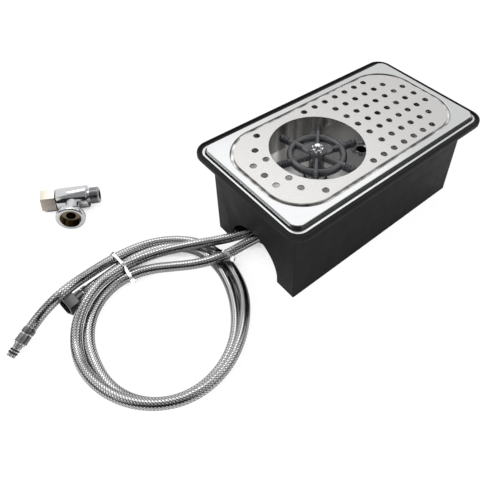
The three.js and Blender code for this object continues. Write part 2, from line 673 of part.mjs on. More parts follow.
// Spray nozzle: a crowned head in the hub's dish, with a ring of jets round a small dome.
const headTop = dishFloor + NOZZLE_HEIGHT;
const chamberFloor = dishFloor + NOZZLE_HEIGHT / 2 - NOZZLE_CHAMBER / 2;
const headShoulder = headTop - NOZZLE_CROWN;
const chamberRadius = JET_CIRCLE + JET_RADIUS;
const nozzleBody = turned([
  [NOZZLE_BORE_RADIUS, dishFloor - NOZZLE_SPIGOT], [NOZZLE_SPIGOT_RADIUS, dishFloor - NOZZLE_SPIGOT],
  [NOZZLE_SPIGOT_RADIUS, dishFloor], [NOZZLE_RADIUS, dishFloor],
  [NOZZLE_RADIUS, headShoulder], [NOZZLE_RADIUS - NOZZLE_CROWN, headTop],
  [NOZZLE_BALL_RADIUS, headTop], [NOZZLE_BALL_RADIUS * Math.SQRT1_2, headTop + NOZZLE_BALL_RISE],
  [0, headTop + NOZZLE_BALL_RISE * Math.SQRT2],
  [0, chamberFloor + NOZZLE_CHAMBER], [chamberRadius, chamberFloor + NOZZLE_CHAMBER],
  [chamberRadius, chamberFloor], [NOZZLE_BORE_RADIUS, chamberFloor],
], SMALL_SIDES);
const jets = [];
for (let i = 0; i < JETS; i += 1) {
  const angle = (2 * Math.PI * i) / JETS;
  const jet = rod(JET_RADIUS, chamberFloor + NOZZLE_CHAMBER / 2, headTop + OVERRUN, JET_SIDES);
  jet.translate(JET_CIRCLE * Math.cos(angle), JET_CIRCLE * Math.sin(angle), 0);
  jets.push(jet);
}
add('spray_nozzle', cut(nozzleBody, mergeGeometries(jets)), CHROME, valve);

// Valve body: its flange pulls up against the pan's floor from below.
const flangeTop = panUnderside - GASKET_THICKNESS;
const flangeBottom = flangeTop - VALVE_FLANGE;
const guideTop = seatUnderside + GUIDE_LENGTH;
const stemHole = STEM_RADIUS + CLEARANCE;
const neckBore = NECK_RADIUS - NECK_WALL;
add('valve_body', turned([
  [VALVE_BORE_RADIUS, blockTop - VALVE_SPIGOT + CLEARANCE],
  [VALVE_SPIGOT_RADIUS - CLEARANCE, blockTop - VALVE_SPIGOT + CLEARANCE],
  [VALVE_SPIGOT_RADIUS - CLEARANCE, blockTop], [VALVE_TAIL_RADIUS, blockTop],
  [VALVE_TAIL_RADIUS, flangeBottom], [VALVE_FLANGE_RADIUS, flangeBottom],
  [VALVE_FLANGE_RADIUS, flangeTop], [SHANK_RADIUS, flangeTop],
  [SHANK_RADIUS, panFloor + SHANK_RISE], [NECK_RADIUS, panFloor + SHANK_RISE],
  [NECK_RADIUS, neckTop], [neckBore, neckTop], [neckBore, guideTop],
  [stemHole, guideTop], [stemHole, seatUnderside],
  [CHAMBER_RADIUS, seatUnderside], [CHAMBER_RADIUS, blockTop + OVERRUN],
  [VALVE_BORE_RADIUS, blockTop + OVERRUN],
]), BRASS, valve);

add('valve_washer', tube(
  VALVE_FLANGE_RADIUS - GASKET_OVERHANG, SHANK_RADIUS + CLEARANCE, flangeTop, panUnderside,
), RUBBER, valve);
add('valve_gasket', tube(
  COLLAR_RADIUS + GASKET_OVERHANG, SHANK_RADIUS + CLEARANCE,
  panFloor, panFloor + GASKET_THICKNESS,
), RUBBER, valve);

// Collar: a ring nut with slots for a pin wrench, screwed down on the shank.
const collarBottom = panFloor + GASKET_THICKNESS;
const collarTop = collarBottom + COLLAR_HEIGHT;
const collarSlots = [];
for (let i = 0; i < COLLAR_LUGS; i += 1) {
  const slot = new THREE.BoxGeometry(
    COLLAR_RADIUS + OVERRUN, COLLAR_SLOT_WIDTH, COLLAR_SLOT_DEPTH + OVERRUN,
  );
  slot.translate(
    (COLLAR_RADIUS + OVERRUN) / 2, 0, collarTop + (OVERRUN - COLLAR_SLOT_DEPTH) / 2,
  );
  slot.rotateZ((2 * Math.PI * i) / COLLAR_LUGS);
  collarSlots.push(slot);
}
add('valve_collar', cut(
  tube(COLLAR_RADIUS, SHANK_RADIUS + CLEARANCE, collarBottom, collarTop, ROUND_SIDES),
  ...collarSlots,
), DARK_CHROME, valve);

// Gland nut: it closes the neck and holds the stem's shoulder down.
const glandBottom = neckTop - GLAND_THREAD;
add('gland_nut', turned([
  [stemHole, glandBottom], [neckBore - CLEARANCE, glandBottom], [neckBore - CLEARANCE, neckTop],
  [NECK_RADIUS, neckTop], [NECK_RADIUS, neckTop + GLAND_HEAD], [stemHole, neckTop + GLAND_HEAD],
]), BRASS, valve);

// Stem: a hollow rod from the star down through the seat. Pressing it moves the side hole out
// of the guide and into the lower chamber, so water enters the bore.
const shoulderTop = glandBottom - CLEARANCE;
const poppetTop = seatUnderside - CLEARANCE;
const stemBottom = poppetTop - POPPET_THICKNESS - STEM_TIP;
const stemTop = socketTop;
const footTop = poppetTop - POPPET_THICKNESS;
const sideHoleZ = seatUnderside + GUIDE_LENGTH / 2;
const boreEnd = sideHoleZ - STEM_HOLE_RADIUS;
const stemRod = turned([
  [0, stemBottom], [STEM_FOOT_RADIUS, stemBottom], [STEM_FOOT_RADIUS, footTop],
  [STEM_RADIUS, footTop], [STEM_RADIUS, shoulderTop - STEM_SHOULDER],
  [STEM_SHOULDER_RADIUS, shoulderTop - STEM_SHOULDER],
  [STEM_SHOULDER_RADIUS, shoulderTop], [STEM_RADIUS, shoulderTop], [STEM_RADIUS, stemTop],
  [STEM_BORE_RADIUS, stemTop], [STEM_BORE_RADIUS, boreEnd], [0, boreEnd],
]);
const sideHole = rod(STEM_HOLE_RADIUS, -STEM_RADIUS - OVERRUN, STEM_RADIUS + OVERRUN, JET_SIDES);
sideHole.rotateX(Math.PI / 2);
sideHole.translate(0, 0, sideHoleZ);
add('valve_stem', cut(stemRod, sideHole), DARK_CHROME, valve);
add('poppet_seal', tube(
  POPPET_RADIUS, STEM_RADIUS + CLEARANCE / 2, poppetTop - POPPET_THICKNESS, poppetTop,
), RUBBER, valve);

// Return spring: one wire wound between the guide's top and the stem's shoulder.
function helix(radius, wire, bottom, top, coils) {
  const places = [];
  const index = [];
  const steps = coils * SPRING_STEPS;
  const rise = top - bottom - 2 * wire;
  for (let step = 0; step <= steps; step += 1) {
    const angle = (2 * Math.PI * step) / SPRING_STEPS;
    const z = bottom + wire + (rise * step) / steps;
    for (let side = 0; side < SPRING_SIDES; side += 1) {
      const turn = (2 * Math.PI * side) / SPRING_SIDES;
      const reach = radius + wire * Math.cos(turn);
      places.push(reach * Math.cos(angle), reach * Math.sin(angle), z + wire * Math.sin(turn));
    }
  }
  for (let step = 0; step < steps; step += 1) {
    for (let side = 0; side < SPRING_SIDES; side += 1) {
      const a = step * SPRING_SIDES + side;
      const b = step * SPRING_SIDES + ((side + 1) % SPRING_SIDES);
      index.push(a, b, b + SPRING_SIDES, a, b + SPRING_SIDES, a + SPRING_SIDES);
    }
  }
  for (let side = 1; side < SPRING_SIDES - 1; side += 1) {
    const last = steps * SPRING_SIDES;
    index.push(0, side + 1, side, last, last + side, last + side + 1);
  }
  const geometry = new THREE.BufferGeometry();
  geometry.setAttribute('position', new THREE.Float32BufferAttribute(places, 3));
  geometry.setIndex(index);
  return closed(geometry);
}
add('return_spring', helix(
  (stemHole + neckBore) / 2, SPRING_WIRE,
  guideTop + CLEARANCE, shoulderTop - STEM_SHOULDER - CLEARANCE, SPRING_COILS,
), DARK_CHROME, valve);

// Inlet block: two ports face the arch. Port A is an outside thread for a swivel nut, and
// port B takes the small fitting inside a boss.

const blockHalf = { x: BLOCK_LENGTH / 2, y: BLOCK_WIDTH / 2 };
const blockX = blockFaceX + blockHalf.x;
const blockY = (PORT_A_Y + PORT_B_Y) / 2;
const blockBottom = blockTop - BLOCK_HEIGHT;
const blockBody = lofted([
  roundedOutline(inset(blockHalf, BLOCK_BEVEL), BLOCK_BEVEL, blockBottom),
  roundedOutline(blockHalf, BLOCK_BEVEL, blockBottom + BLOCK_BEVEL),
  roundedOutline(blockHalf, BLOCK_BEVEL, blockTop - BLOCK_BEVEL),
  roundedOutline(inset(blockHalf, BLOCK_BEVEL), BLOCK_BEVEL, blockTop),
], false);
blockBody.translate(blockX, blockY, 0);

// A turned piece laid along X, with its z running towards -X from x.
function laid(geometry, x, y, z) {
  geometry.rotateY(-Math.PI / 2);
  geometry.translate(x, y, z);
  return geometry;
}
const ferruleEndX = hoseEndX + ferruleEnd;
const fittingTipX = ferruleEndX + fittingLength;
const bossReach = blockFaceX - ferruleEndX - FITTING_COLLAR - CLEARANCE;
const bossBore = FITTING_SPIGOT_RADIUS + O_RING_WIRE + 2 * CLEARANCE;
const inward = BLOCK_BORE_RADIUS * 2;
add('inlet_block', cut(
  joined(
    blockBody,
    laid(rod(STUB_RADIUS, -inward, STUB_LENGTH), blockFaceX, PORT_A_Y, portZ),
    laid(rod(BOSS_RADIUS, -inward, bossReach), blockFaceX, PORT_B_Y, portZ),
  ),
  laid(rod(BLOCK_BORE_RADIUS, -BLOCK_LENGTH + BLOCK_VALVE_OFFSET, STUB_LENGTH + OVERRUN),
    blockFaceX, PORT_A_Y, portZ),
  laid(rod(bossBore, blockFaceX - fittingTipX - CLEARANCE, bossReach + OVERRUN),
    blockFaceX, PORT_B_Y, portZ),
  laid(rod(BLOCK_BORE_RADIUS, -BLOCK_LENGTH + BLOCK_VALVE_OFFSET, bossReach),
    blockFaceX, PORT_B_Y, portZ),
  rod(BLOCK_BORE_RADIUS, PORT_B_Y, PORT_A_Y).rotateX(-Math.PI / 2).translate(valveX, 0, portZ),
  rod(BLOCK_BORE_RADIUS, portZ, blockTop).translate(valveX, 0, 0),
  rod(VALVE_SPIGOT_RADIUS, blockTop - VALVE_SPIGOT, blockTop + OVERRUN).translate(valveX, 0, 0),
), BRASS);

// Drain

const drain = groupAt(drainX, DRAIN_Y, 0);
const drainTop = panFloor + DRAIN_FLANGE;
const drainBottom = panUnderside - DRAIN_TAIL;
const drainBore = DRAIN_BORE_RADIUS;
add('drain_flange', turned([
  [drainBore, drainBottom], [DRAIN_TAIL_RADIUS, drainBottom], [DRAIN_TAIL_RADIUS, panFloor],
  [DRAIN_FLANGE_RADIUS, panFloor], [DRAIN_FLANGE_RADIUS, panFloor + DRAIN_FLANGE / 2],
  [DRAIN_RING_RADIUS, drainTop], [DRAIN_GROOVE_RADIUS, drainTop],
  [DRAIN_GROOVE_RADIUS - DRAIN_STEP, drainTop - DRAIN_STEP],
  [DRAIN_LIP_RADIUS, drainTop - DRAIN_STEP], [drainBore, drainTop - 2 * DRAIN_STEP],
], SMALL_SIDES), DARK_CHROME, drain);
const drainNutTop = panUnderside - GASKET_THICKNESS;
const drainNutBottom = drainNutTop - DRAIN_NUT_HEIGHT;
const drainThreadHole = DRAIN_TAIL_RADIUS + CLEARANCE;
add('drain_gasket', tube(
  DRAIN_NUT_ACROSS / 2, drainThreadHole, drainNutTop, panUnderside,
), RUBBER, drain);
add('drain_locknut', cut(
  hexBody(DRAIN_NUT_ACROSS, drainNutBottom, drainNutTop, HOSE_NUT_BEVEL),
  rod(drainThreadHole, drainNutBottom - OVERRUN, drainNutTop + OVERRUN),
), CHROME, drain);

// The cup screws up on the drain's tail, and the barb below it takes the waste hose.
const cupTop = drainBottom + BARB_CUP_HEIGHT - BARB_CUP_WALL;
const cupFloor = drainBottom - CLEARANCE;
const cupBottom = cupFloor - BARB_CUP_WALL;
const cupRadius = drainThreadHole + BARB_CUP_WALL;
const barbBottom = cupBottom - BARB_LENGTH;
const barbProfile = [[drainBore, barbBottom]];
for (let i = 0; i < BARB_RIDGES; i += 1) {
  const low = barbBottom + (i * BARB_LENGTH) / (BARB_RIDGES + 1);
  const high = barbBottom + ((i + 1) * BARB_LENGTH) / (BARB_RIDGES + 1);
  barbProfile.push([BARB_RADIUS, low], [BARB_RADIUS + BARB_RIDGE, high], [BARB_RADIUS, high]);
}
add('drain_barb', turned([
  ...barbProfile, [BARB_RADIUS, cupBottom], [cupRadius, cupBottom], [cupRadius, cupTop],
  [drainThreadHole, cupTop], [drainThreadHole, cupFloor], [drainBore, cupFloor],
]), BLACK_PLASTIC, drain);

// Hoses

const vector = ([x, y, z]) => new THREE.Vector3(x + routeShift, y, z);
function hosePath(route, portY) {
  const points = route.map(vector);
  for (const lead of [HOSE_PORT_LEAD, HOSE_PORT_LEAD / 2, 0]) {
    points.push(new THREE.Vector3(hoseEndX - lead, portY, portZ));
  }
  const path = new THREE.CatmullRomCurve3(points);
  path.arcLengthDivisions = points.length * HOSE_SIDES;
  return path;
}
const pathA = hosePath(HOSE_A_ROUTE, PORT_A_Y);
const pathB = hosePath(HOSE_B_ROUTE, PORT_B_Y);

const hoseSection = new THREE.Shape();
for (let i = 0; i < HOSE_SIDES; i += 1) {
  const angle = (2 * Math.PI * i) / HOSE_SIDES;
  const [x, y] = [HOSE_RADIUS * Math.cos(angle), HOSE_RADIUS * Math.sin(angle)];
  if (i === 0) hoseSection.moveTo(x, y);
  else hoseSection.lineTo(x, y);
}
function hoseOf(path, steps) {
  return closed(new THREE.ExtrudeGeometry(hoseSection, {
    steps, extrudePath: path, bevelEnabled: false,
  }));
}
add('hose_a', hoseOf(pathA, HOSE_A_STEPS), BRAID);
add('hose_b', hoseOf(pathB, HOSE_B_STEPS), BRAID);

// Points along the middle of a hose's straight pieces.
function dotsAlong(path, steps) {
  const corners = path.getSpacedPoints(steps);
  const dots = [];
  for (let i = 0; i < steps; i += 1) {
    for (let j = 0; j < HOSE_DOTS; j += 1) {
      dots.push(corners[i].clone().lerp(corners[i + 1], j / HOSE_DOTS));
    }
  }
  return [...dots, corners[steps]];
}

// The least gap between the strands, where the middles pass each other.
function leastGap(first, second) {
  let least = Infinity;
  first.forEach((p, i) => second.forEach((q, j) => {
    if (first === second && Math.abs(i - j) < 4 * HOSE_DOTS) return;
    least = Math.min(least, p.distanceTo(q));
  }));
  return (least - 2 * HOSE_RADIUS).toFixed(2);
}
const dotsA = dotsAlong(pathA, HOSE_A_STEPS);
const dotsB = dotsAlong(pathB, HOSE_B_STEPS);
console.log('hose lengths', pathA.getLength().toFixed(1), pathB.getLength().toFixed(1));
console.log('least gaps', leastGap(dotsA, dotsA), leastGap(dotsB, dotsB), leastGap(dotsA, dotsB));

// A frame at a hose's end, with +Z pointing out of the hose.
function hoseEnd(path, atStart) {
  const place = path.getPointAt(atStart ? 0 : 1);
  const way = path.getTangentAt(atStart ? 0 : 1);
  if (atStart) way.negate();
  const group = groupAt(place.x, place.y, place.z);
  group.quaternion.setFromUnitVectors(new THREE.Vector3(0, 0, 1), way);
  return group;
}

function addFerrule(name, home) {
  const crimp = FERRULE_RADIUS - FERRULE_CRIMP;
  const at = (share) => CLEARANCE + FERRULE_LENGTH * share;
  const crimpShares = [0.34, 0.4, 0.6, 0.66];
  add(name, turned([
    [WATER_BORE_RADIUS, CLEARANCE], [FERRULE_RADIUS - FERRULE_CRIMP / 2, CLEARANCE],
    [FERRULE_RADIUS, CLEARANCE + FERRULE_CRIMP], [FERRULE_RADIUS, at(crimpShares[0])],
    [crimp, at(crimpShares[1])], [crimp, at(crimpShares[2])],
    [FERRULE_RADIUS, at(crimpShares[3])], [FERRULE_RADIUS, ferruleEnd - FERRULE_CRIMP],
    [FERRULE_RADIUS - FERRULE_CRIMP, ferruleEnd], [WATER_BORE_RADIUS, ferruleEnd],
  ]), NUT_STEEL, home);
}

// The small fitting: a collar, a fine thread, and a spigot with two grooves for O-rings.
function addFitting(name, ringName, home) {
  const collarEnd = ferruleEnd + FITTING_COLLAR;
  const threadEnd = collarEnd + FITTING_THREAD;
  const tip = ferruleEnd + fittingLength;
  const groove = FITTING_SPIGOT_RADIUS - O_RING_WIRE;
  const profile = [
    [WATER_BORE_RADIUS, ferruleEnd], [FITTING_COLLAR_RADIUS, ferruleEnd],
    [FITTING_COLLAR_RADIUS, collarEnd], [FITTING_THREAD_RADIUS, collarEnd],
    [FITTING_THREAD_RADIUS, threadEnd], [FITTING_SPIGOT_RADIUS, threadEnd],
  ];
  for (const i of [1, 0]) {
    const z = tip - O_RING_FROM_TIP - i * O_RING_PITCH;
    const half = O_RING_WIRE + CLEARANCE / 2;
    profile.push([FITTING_SPIGOT_RADIUS, z - half], [groove, z - half]);
    profile.push([groove, z + half], [FITTING_SPIGOT_RADIUS, z + half]);
    const ring = new THREE.Shape();
    ring.absarc(0, 0, O_RING_WIRE, 0, 2 * Math.PI);
    const points = ring.getPoints(2).slice(0, -1)
      .map((point) => [groove + CLEARANCE / 2 + O_RING_WIRE + point.x, z + point.y]);
    add(`${ringName}_${2 - i}`, turned(points, SMALL_SIDES), RUBBER, home);
  }
  profile.push([FITTING_SPIGOT_RADIUS, tip], [WATER_BORE_RADIUS, tip]);
  add(name, turned(profile), CHROME, home);
}

// The swivel nut end: a tail with a flange, which the nut's inner wall pulls on its washer.
function addSwivel(prefix, home) {
  const tailFlangeRadius = HOSE_NUT_BORE_RADIUS - CLEARANCE;
  add(`${prefix}_tail`, turned([
    [WATER_BORE_RADIUS, ferruleEnd], [TAIL_NECK_RADIUS, ferruleEnd],
    [TAIL_NECK_RADIUS, flangeStart], [tailFlangeRadius, flangeStart],
    [tailFlangeRadius, washerStart], [WATER_BORE_RADIUS, washerStart],
  ]), CHROME, home);
  add(`${prefix}_washer`, tube(
    tailFlangeRadius, WATER_BORE_RADIUS * 2, washerStart, washerEnd,
  ), RUBBER, home);
  const nutEnd = nutStart + HOSE_NUT_LENGTH;
  add(`${prefix}_nut`, cut(
    hexBody(HOSE_NUT_ACROSS, nutStart, nutEnd, HOSE_NUT_BEVEL),
    rod(HOSE_NUT_BORE_RADIUS, nutStart + HOSE_NUT_WALL, nutEnd + OVERRUN),
    rod(TAIL_NECK_RADIUS + CLEARANCE, nutStart - OVERRUN, nutEnd),
  ), NUT_STEEL, home);
}

const outerA = hoseEnd(pathA, true);
addFerrule('hose_a_outer_ferrule', outerA);
addFitting('hose_a_fitting', 'hose_a_o_ring', outerA);
const innerA = hoseEnd(pathA, false);
addFerrule('hose_a_inner_ferrule', innerA);
addSwivel('hose_a_port', innerA);
const outerB = hoseEnd(pathB, true);
addFerrule('hose_b_outer_ferrule', outerB);
addSwivel('hose_b', outerB);
const innerB = hoseEnd(pathB, false);
addFerrule('hose_b_inner_ferrule', innerB);
addFitting('hose_b_fitting', 'hose_b_o_ring', innerB);

// Cable ties: a strap drawn round the strands that cross an upright plane.

function hull(points) {
  const sorted = [...points].sort((p, q) => p.x - q.x || p.y - q.y);
  const turn = (o, p, q) => (p.x - o.x) * (q.y - o.y) - (p.y - o.y) * (q.x - o.x);
  const half = (list) => {
    const chain = [];
    for (const point of list) {
      while (chain.length > 1
        && turn(chain[chain.length - 2], chain[chain.length - 1], point) <= 0) chain.pop();
      chain.push(point);
    }
    chain.pop();
    return chain;
  };
  return [...half(sorted), ...half(sorted.reverse())];
}

// Where the hoses cross the plane through place, along the level way u: their places in it,
// how far they reach along u, and how high.
function strandsAt(place, angle, reach) {
  const u = new THREE.Vector3(Math.cos(angle), Math.sin(angle), 0);
  const normal = new THREE.Vector3(-u.y, u.x, 0);
  const origin = new THREE.Vector3(place[0], place[1], 0);
  const strands = [];
  for (const dots of [dotsA, dotsB]) {
    for (let i = 1; i < dots.length; i += 1) {
      const before = dots[i - 1].clone().sub(origin);
      const after = dots[i].clone().sub(origin);
      const [d0, d1] = [before.dot(normal), after.dot(normal)];
      if (d0 * d1 > 0 || d0 === d1) continue;
      const point = before.lerp(after, d0 / (d0 - d1));
      const along = point.dot(u);
      if (Math.abs(along) > reach) continue;
      const way = dots[i].clone().sub(dots[i - 1]).setZ(0).normalize();
      const lean = Math.abs(way.dot(normal));
      const slip = Math.abs(way.dot(u)) / lean;
      strands.push({ along, height: point.z, stretch: 1 / lean, slip: (slip * TIE_WIDTH) / 2 });
    }
  }
  return strands;
}

function strapOutline(strands, margin) {
  const points = [];
  for (const { along, height, stretch, slip } of strands) {
    for (let i = 0; i < TIE_POINTS; i += 1) {
      const angle = (2 * Math.PI * i) / TIE_POINTS;
      const radius = HOSE_RADIUS + margin;
      points.push(new THREE.Vector2(
        along + (radius + HOSE_RADIUS * (stretch - 1) + slip) * Math.cos(angle),
        height + radius * Math.sin(angle),
      ));
    }
  }
  return hull(points);
}

function addTie(name, place, angle, reach, lowest, look) {
  const strands = strandsAt(place, angle, reach)
    .sort((p, q) => q.height - p.height).slice(0, lowest);
  const outer = strapOutline(strands, TIE_SLACK + TIE_THICKNESS);
  const inner = strapOutline(strands, TIE_SLACK);
  const shape = new THREE.Shape(outer);
  shape.holes.push(new THREE.Path(inner));
  const strap = new THREE.ExtrudeGeometry(shape, { depth: TIE_WIDTH, bevelEnabled: false });
  strap.translate(0, 0, -TIE_WIDTH / 2);
  const nearX = Math.max(...outer.map((point) => point.x));
  const nearPoint = outer.find((point) => point.x === nearX);
  const head = new THREE.BoxGeometry(...TIE_HEAD);
  head.translate(nearX + TIE_HEAD[0] / 2 - TIE_THICKNESS, nearPoint.y, 0);
  const geometry = joined(strap, head);
  geometry.rotateX(Math.PI / 2);
  const home = groupAt(place[0], place[1], 0);
  home.rotation.z = angle;
  add(name, geometry, look, home);
}
const shifted = ([x, y]) => [x + routeShift, y];
addTie('cable_tie_1', shifted(TIE_1_PLACE), -Math.PI / 2, TIE_1_REACH, 4, WHITE_NYLON);
addTie('cable_tie_2', shifted(TIE_2_PLACE), TIE_2_TURN, TIE_2_REACH, 1, WHITE_NYLON);

// Tee: it lies on its barrel and on the rim of its mouth, so it tips a little. In its group
// the run lies along X and the branch points to -Y.

const flareStart = TEE_BRANCH_REACH - TEE_FLARE_LENGTH;
const ribsEnd = flareStart - TEE_FLARE_SLOPE;
const ribsStart = ribsEnd - TEE_RIBS_LENGTH;
const teeTip = Math.asin((TEE_FLARE_RADIUS - TEE_BARREL_RADIUS) / flareStart);
const tee = groupAt(TEE_CENTRE[0], TEE_CENTRE[1], TEE_BARREL_RADIUS + CLEARANCE);
tee.rotation.set(-teeTip, 0, TEE_TURN, 'ZXY');

// A turned piece laid along the tee's run, with its z running to +X.
const alongRun = (geometry) => geometry.rotateY(Math.PI / 2);
// And one laid along the branch, with its z running to -Y.
const alongBranch = (geometry) => geometry.rotateX(Math.PI / 2);

const barrelHalf = TEE_BARREL_LENGTH / 2;
const threadStart = barrelHalf + TEE_NECK_LENGTH;
const threadEnd = threadStart + TEE_THREAD_LENGTH;
const tubeEnd = -barrelHalf - TEE_NUT_GAP - HOSE_NUT_WALL - CLEARANCE - TAIL_FLANGE;
const runProfile = [
  [0, tubeEnd], [TEE_NECK_RADIUS, tubeEnd],
  [TEE_NECK_RADIUS, tubeEnd + TAIL_FLANGE], [TEE_TUBE_RADIUS, tubeEnd + TAIL_FLANGE],
  [TEE_TUBE_RADIUS, -barrelHalf], [TEE_BARREL_RADIUS - TEE_BEVEL, -barrelHalf],
  [TEE_BARREL_RADIUS, TEE_BEVEL - barrelHalf], [TEE_BARREL_RADIUS, barrelHalf - TEE_BEVEL],
  [TEE_BARREL_RADIUS - TEE_BEVEL, barrelHalf], [TEE_NECK_RADIUS, barrelHalf],
  [TEE_NECK_RADIUS, threadStart],
];
for (let i = 0; i < TEE_THREAD_RIDGES; i += 1) {
  const from = threadStart + (i * TEE_THREAD_LENGTH) / TEE_THREAD_RIDGES;
  const to = threadStart + ((i + 1) * TEE_THREAD_LENGTH) / TEE_THREAD_RIDGES;
  const [quarter, middle] = [from + (to - from) / 4, (from + to) / 2];
  runProfile.push(
    [TEE_THREAD_RADIUS - TEE_THREAD_DEPTH, from], [TEE_THREAD_RADIUS, quarter],
    [TEE_THREAD_RADIUS, middle + (to - middle) / 2],
  );
}
runProfile.push([TEE_THREAD_RADIUS - TEE_THREAD_DEPTH, threadEnd]);
runProfile.push([0, threadEnd]);

const branchProfile = [
  [0, 0], [TEE_BRANCH_NECK_RADIUS, 0], [TEE_BRANCH_NECK_RADIUS, ribsStart],
];
for (let i = 0; i < TEE_RIBS; i += 1) {
  const step = TEE_RIBS_LENGTH / TEE_RIBS;
  const from = ribsStart + i * step;
  branchProfile.push(
    [TEE_RIB_RADIUS, from + step / 4], [TEE_RIB_RADIUS, from + (step * 3) / 4],
    [(TEE_RIB_RADIUS + TEE_BRANCH_NECK_RADIUS) / 2, from + step],
  );
}
branchProfile.push(
  [TEE_FLARE_RADIUS, flareStart], [TEE_FLARE_RADIUS, TEE_BRANCH_REACH - TEE_MOUTH_CHAMFER],
  [TEE_FLARE_RADIUS - TEE_MOUTH_CHAMFER, TEE_BRANCH_REACH], [0, TEE_BRANCH_REACH],
);
add('tee_body', cut(
  joined(alongRun(turned(runProfile, ROUND_SIDES)), alongBranch(turned(branchProfile, ROUND_SIDES))),
  alongBranch(rod(TEE_BRANCH_BORE_RADIUS, 0, TEE_BRANCH_REACH)),
  alongRun(rod(TEE_RUN_BORE_RADIUS, tubeEnd - OVERRUN, threadEnd + OVERRUN)),
  alongBranch(rod(TEE_MOUTH_RADIUS, flareStart, TEE_BRANCH_REACH + OVERRUN, ROUND_SIDES)),
), CHROME, tee);

const teeNutRight = -barrelHalf - TEE_NUT_GAP;
const teeNutLeft = teeNutRight - TEE_NUT_LENGTH;
add('tee_union_nut', cut(
  alongRun(hexBody(TEE_NUT_ACROSS, teeNutLeft, teeNutRight, TEE_BEVEL).rotateZ(TEE_NUT_TURN)),
  alongRun(rod(
    TEE_NECK_RADIUS + CLEARANCE, teeNutLeft - OVERRUN, teeNutRight - HOSE_NUT_WALL, ROUND_SIDES,
  )),
  alongRun(rod(TEE_TUBE_RADIUS + CLEARANCE, teeNutLeft, teeNutRight + OVERRUN)),
), CHROME, tee);
add('tee_washer', alongRun(tube(
  TEE_NECK_RADIUS - CLEARANCE, TEE_RUN_BORE_RADIUS, tubeEnd - HOSE_WASHER, tubeEnd,
)), RUBBER, tee);

export default rinser;
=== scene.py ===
# %% [markdown]
# # A pitcher rinser for a coffee bar
# A steel basin sits in a black plastic housing. A perforated plate covers the basin, and a
# six-armed star stands in the plate's round opening. Two braided hoses leave through an arch
# in the end wall, and a chrome tee for the water pipe lies beside them.
# The CAD model gives every size and place. This file dresses it: it loads the model as a fixed
# frame, builds finer pieces over its solids, and gives each one a procedural material.

# %% Load the CAD frame
import bmesh
import bpy
import math
from mathutils import Matrix, Vector


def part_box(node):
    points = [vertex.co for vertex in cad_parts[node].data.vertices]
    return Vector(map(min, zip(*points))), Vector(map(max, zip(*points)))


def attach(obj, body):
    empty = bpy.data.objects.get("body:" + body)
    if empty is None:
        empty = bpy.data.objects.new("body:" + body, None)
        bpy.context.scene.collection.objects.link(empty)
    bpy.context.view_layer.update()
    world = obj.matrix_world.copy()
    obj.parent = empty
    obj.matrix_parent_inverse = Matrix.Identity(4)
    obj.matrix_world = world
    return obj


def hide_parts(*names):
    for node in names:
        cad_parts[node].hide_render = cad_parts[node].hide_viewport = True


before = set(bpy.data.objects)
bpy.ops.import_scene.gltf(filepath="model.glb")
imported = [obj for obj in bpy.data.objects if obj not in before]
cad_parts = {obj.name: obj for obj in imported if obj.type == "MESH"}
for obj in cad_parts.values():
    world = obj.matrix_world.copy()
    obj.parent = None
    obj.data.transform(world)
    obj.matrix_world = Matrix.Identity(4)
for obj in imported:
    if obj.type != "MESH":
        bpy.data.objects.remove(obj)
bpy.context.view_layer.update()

# %% [markdown]
# ## Units
# Blender and the CAD frame work in metres, but a maker thinks in millimetres. So each piece is
# built in millimetres about the middle of the box, and is scaled and moved into the frame once,
# when it is finished. The origin of the frame is at the middle of the front wall's foot, and
# the housing's box says how far behind it the middle lies.

# %% Sizes that several pieces share
MM = 0.001
low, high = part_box("housing")
MIDDLE_Y = (low.y + high.y) / 2 / MM
PLATE_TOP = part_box("cover_plate")[1].z / MM
star_low, star_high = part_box("star_actuator")
VALVE_X = (star_low.x + star_high.x) / 2 / MM
drain_low, drain_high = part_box("drain_flange")
DRAIN_X = (drain_low.x + drain_high.x) / 2 / MM
DRAIN_Y = (drain_low.y + drain_high.y) / 2 / MM - MIDDLE_Y
print("middle", MIDDLE_Y, "plate", PLATE_TOP, "valve", VALVE_X, "drain", DRAIN_X, DRAIN_Y)

# %% [markdown]
# ## The camera
# A camera is matched by where it stands, which way it looks and how long its lens is. The three
# rows below are the camera's right, up and back directions, found from the box's corners in
# the picture. The picture was cropped off centre, so the lens is shifted a little.

# %% Place the camera
def into_scene(name, data):
    """A new object in the scene for a mesh, a lamp or a camera."""
    made = bpy.data.objects.new(name, data)
    bpy.context.scene.collection.objects.link(made)
    return made


STAND = (-0.3881, -0.2566, 0.5246)
camera_data = bpy.data.cameras.new("camera")
camera_data.sensor_width = 36
camera_data.lens = 37.22
camera_data.shift_x = -0.124
camera_data.shift_y = -0.11
camera_data.clip_end = 50
camera = into_scene("camera", camera_data)
right = Vector((0.7353, -0.6758, 0.0512))
up = Vector((0.452, 0.5452, 0.7061))
back = Vector((-0.5051, -0.496, 0.7063))
turn = Matrix((right, up, back)).transposed().to_4x4()
camera.matrix_world = Matrix.Translation(STAND) @ turn
bpy.context.scene.camera = camera

# %% [markdown]
# ## Short helpers
# A material or a world is a tree of nodes. Each helper below makes one node, feeds it and gives
# back what comes out of it, so that a material can be written like a sum.

# %% Helpers for meshes and nodes
def mesh_object(name, bm):
    """A new object in the scene with bm as its mesh."""
    mesh = bpy.data.meshes.new(name)
    bm.to_mesh(mesh)
    bm.free()
    return into_scene(name, mesh)


def move(bm, verts, x, y, z):
    bmesh.ops.translate(bm, vec=(x, y, z), verts=verts)


def resize(bm, verts, x, y, z):
    bmesh.ops.scale(bm, vec=(x, y, z), verts=verts)


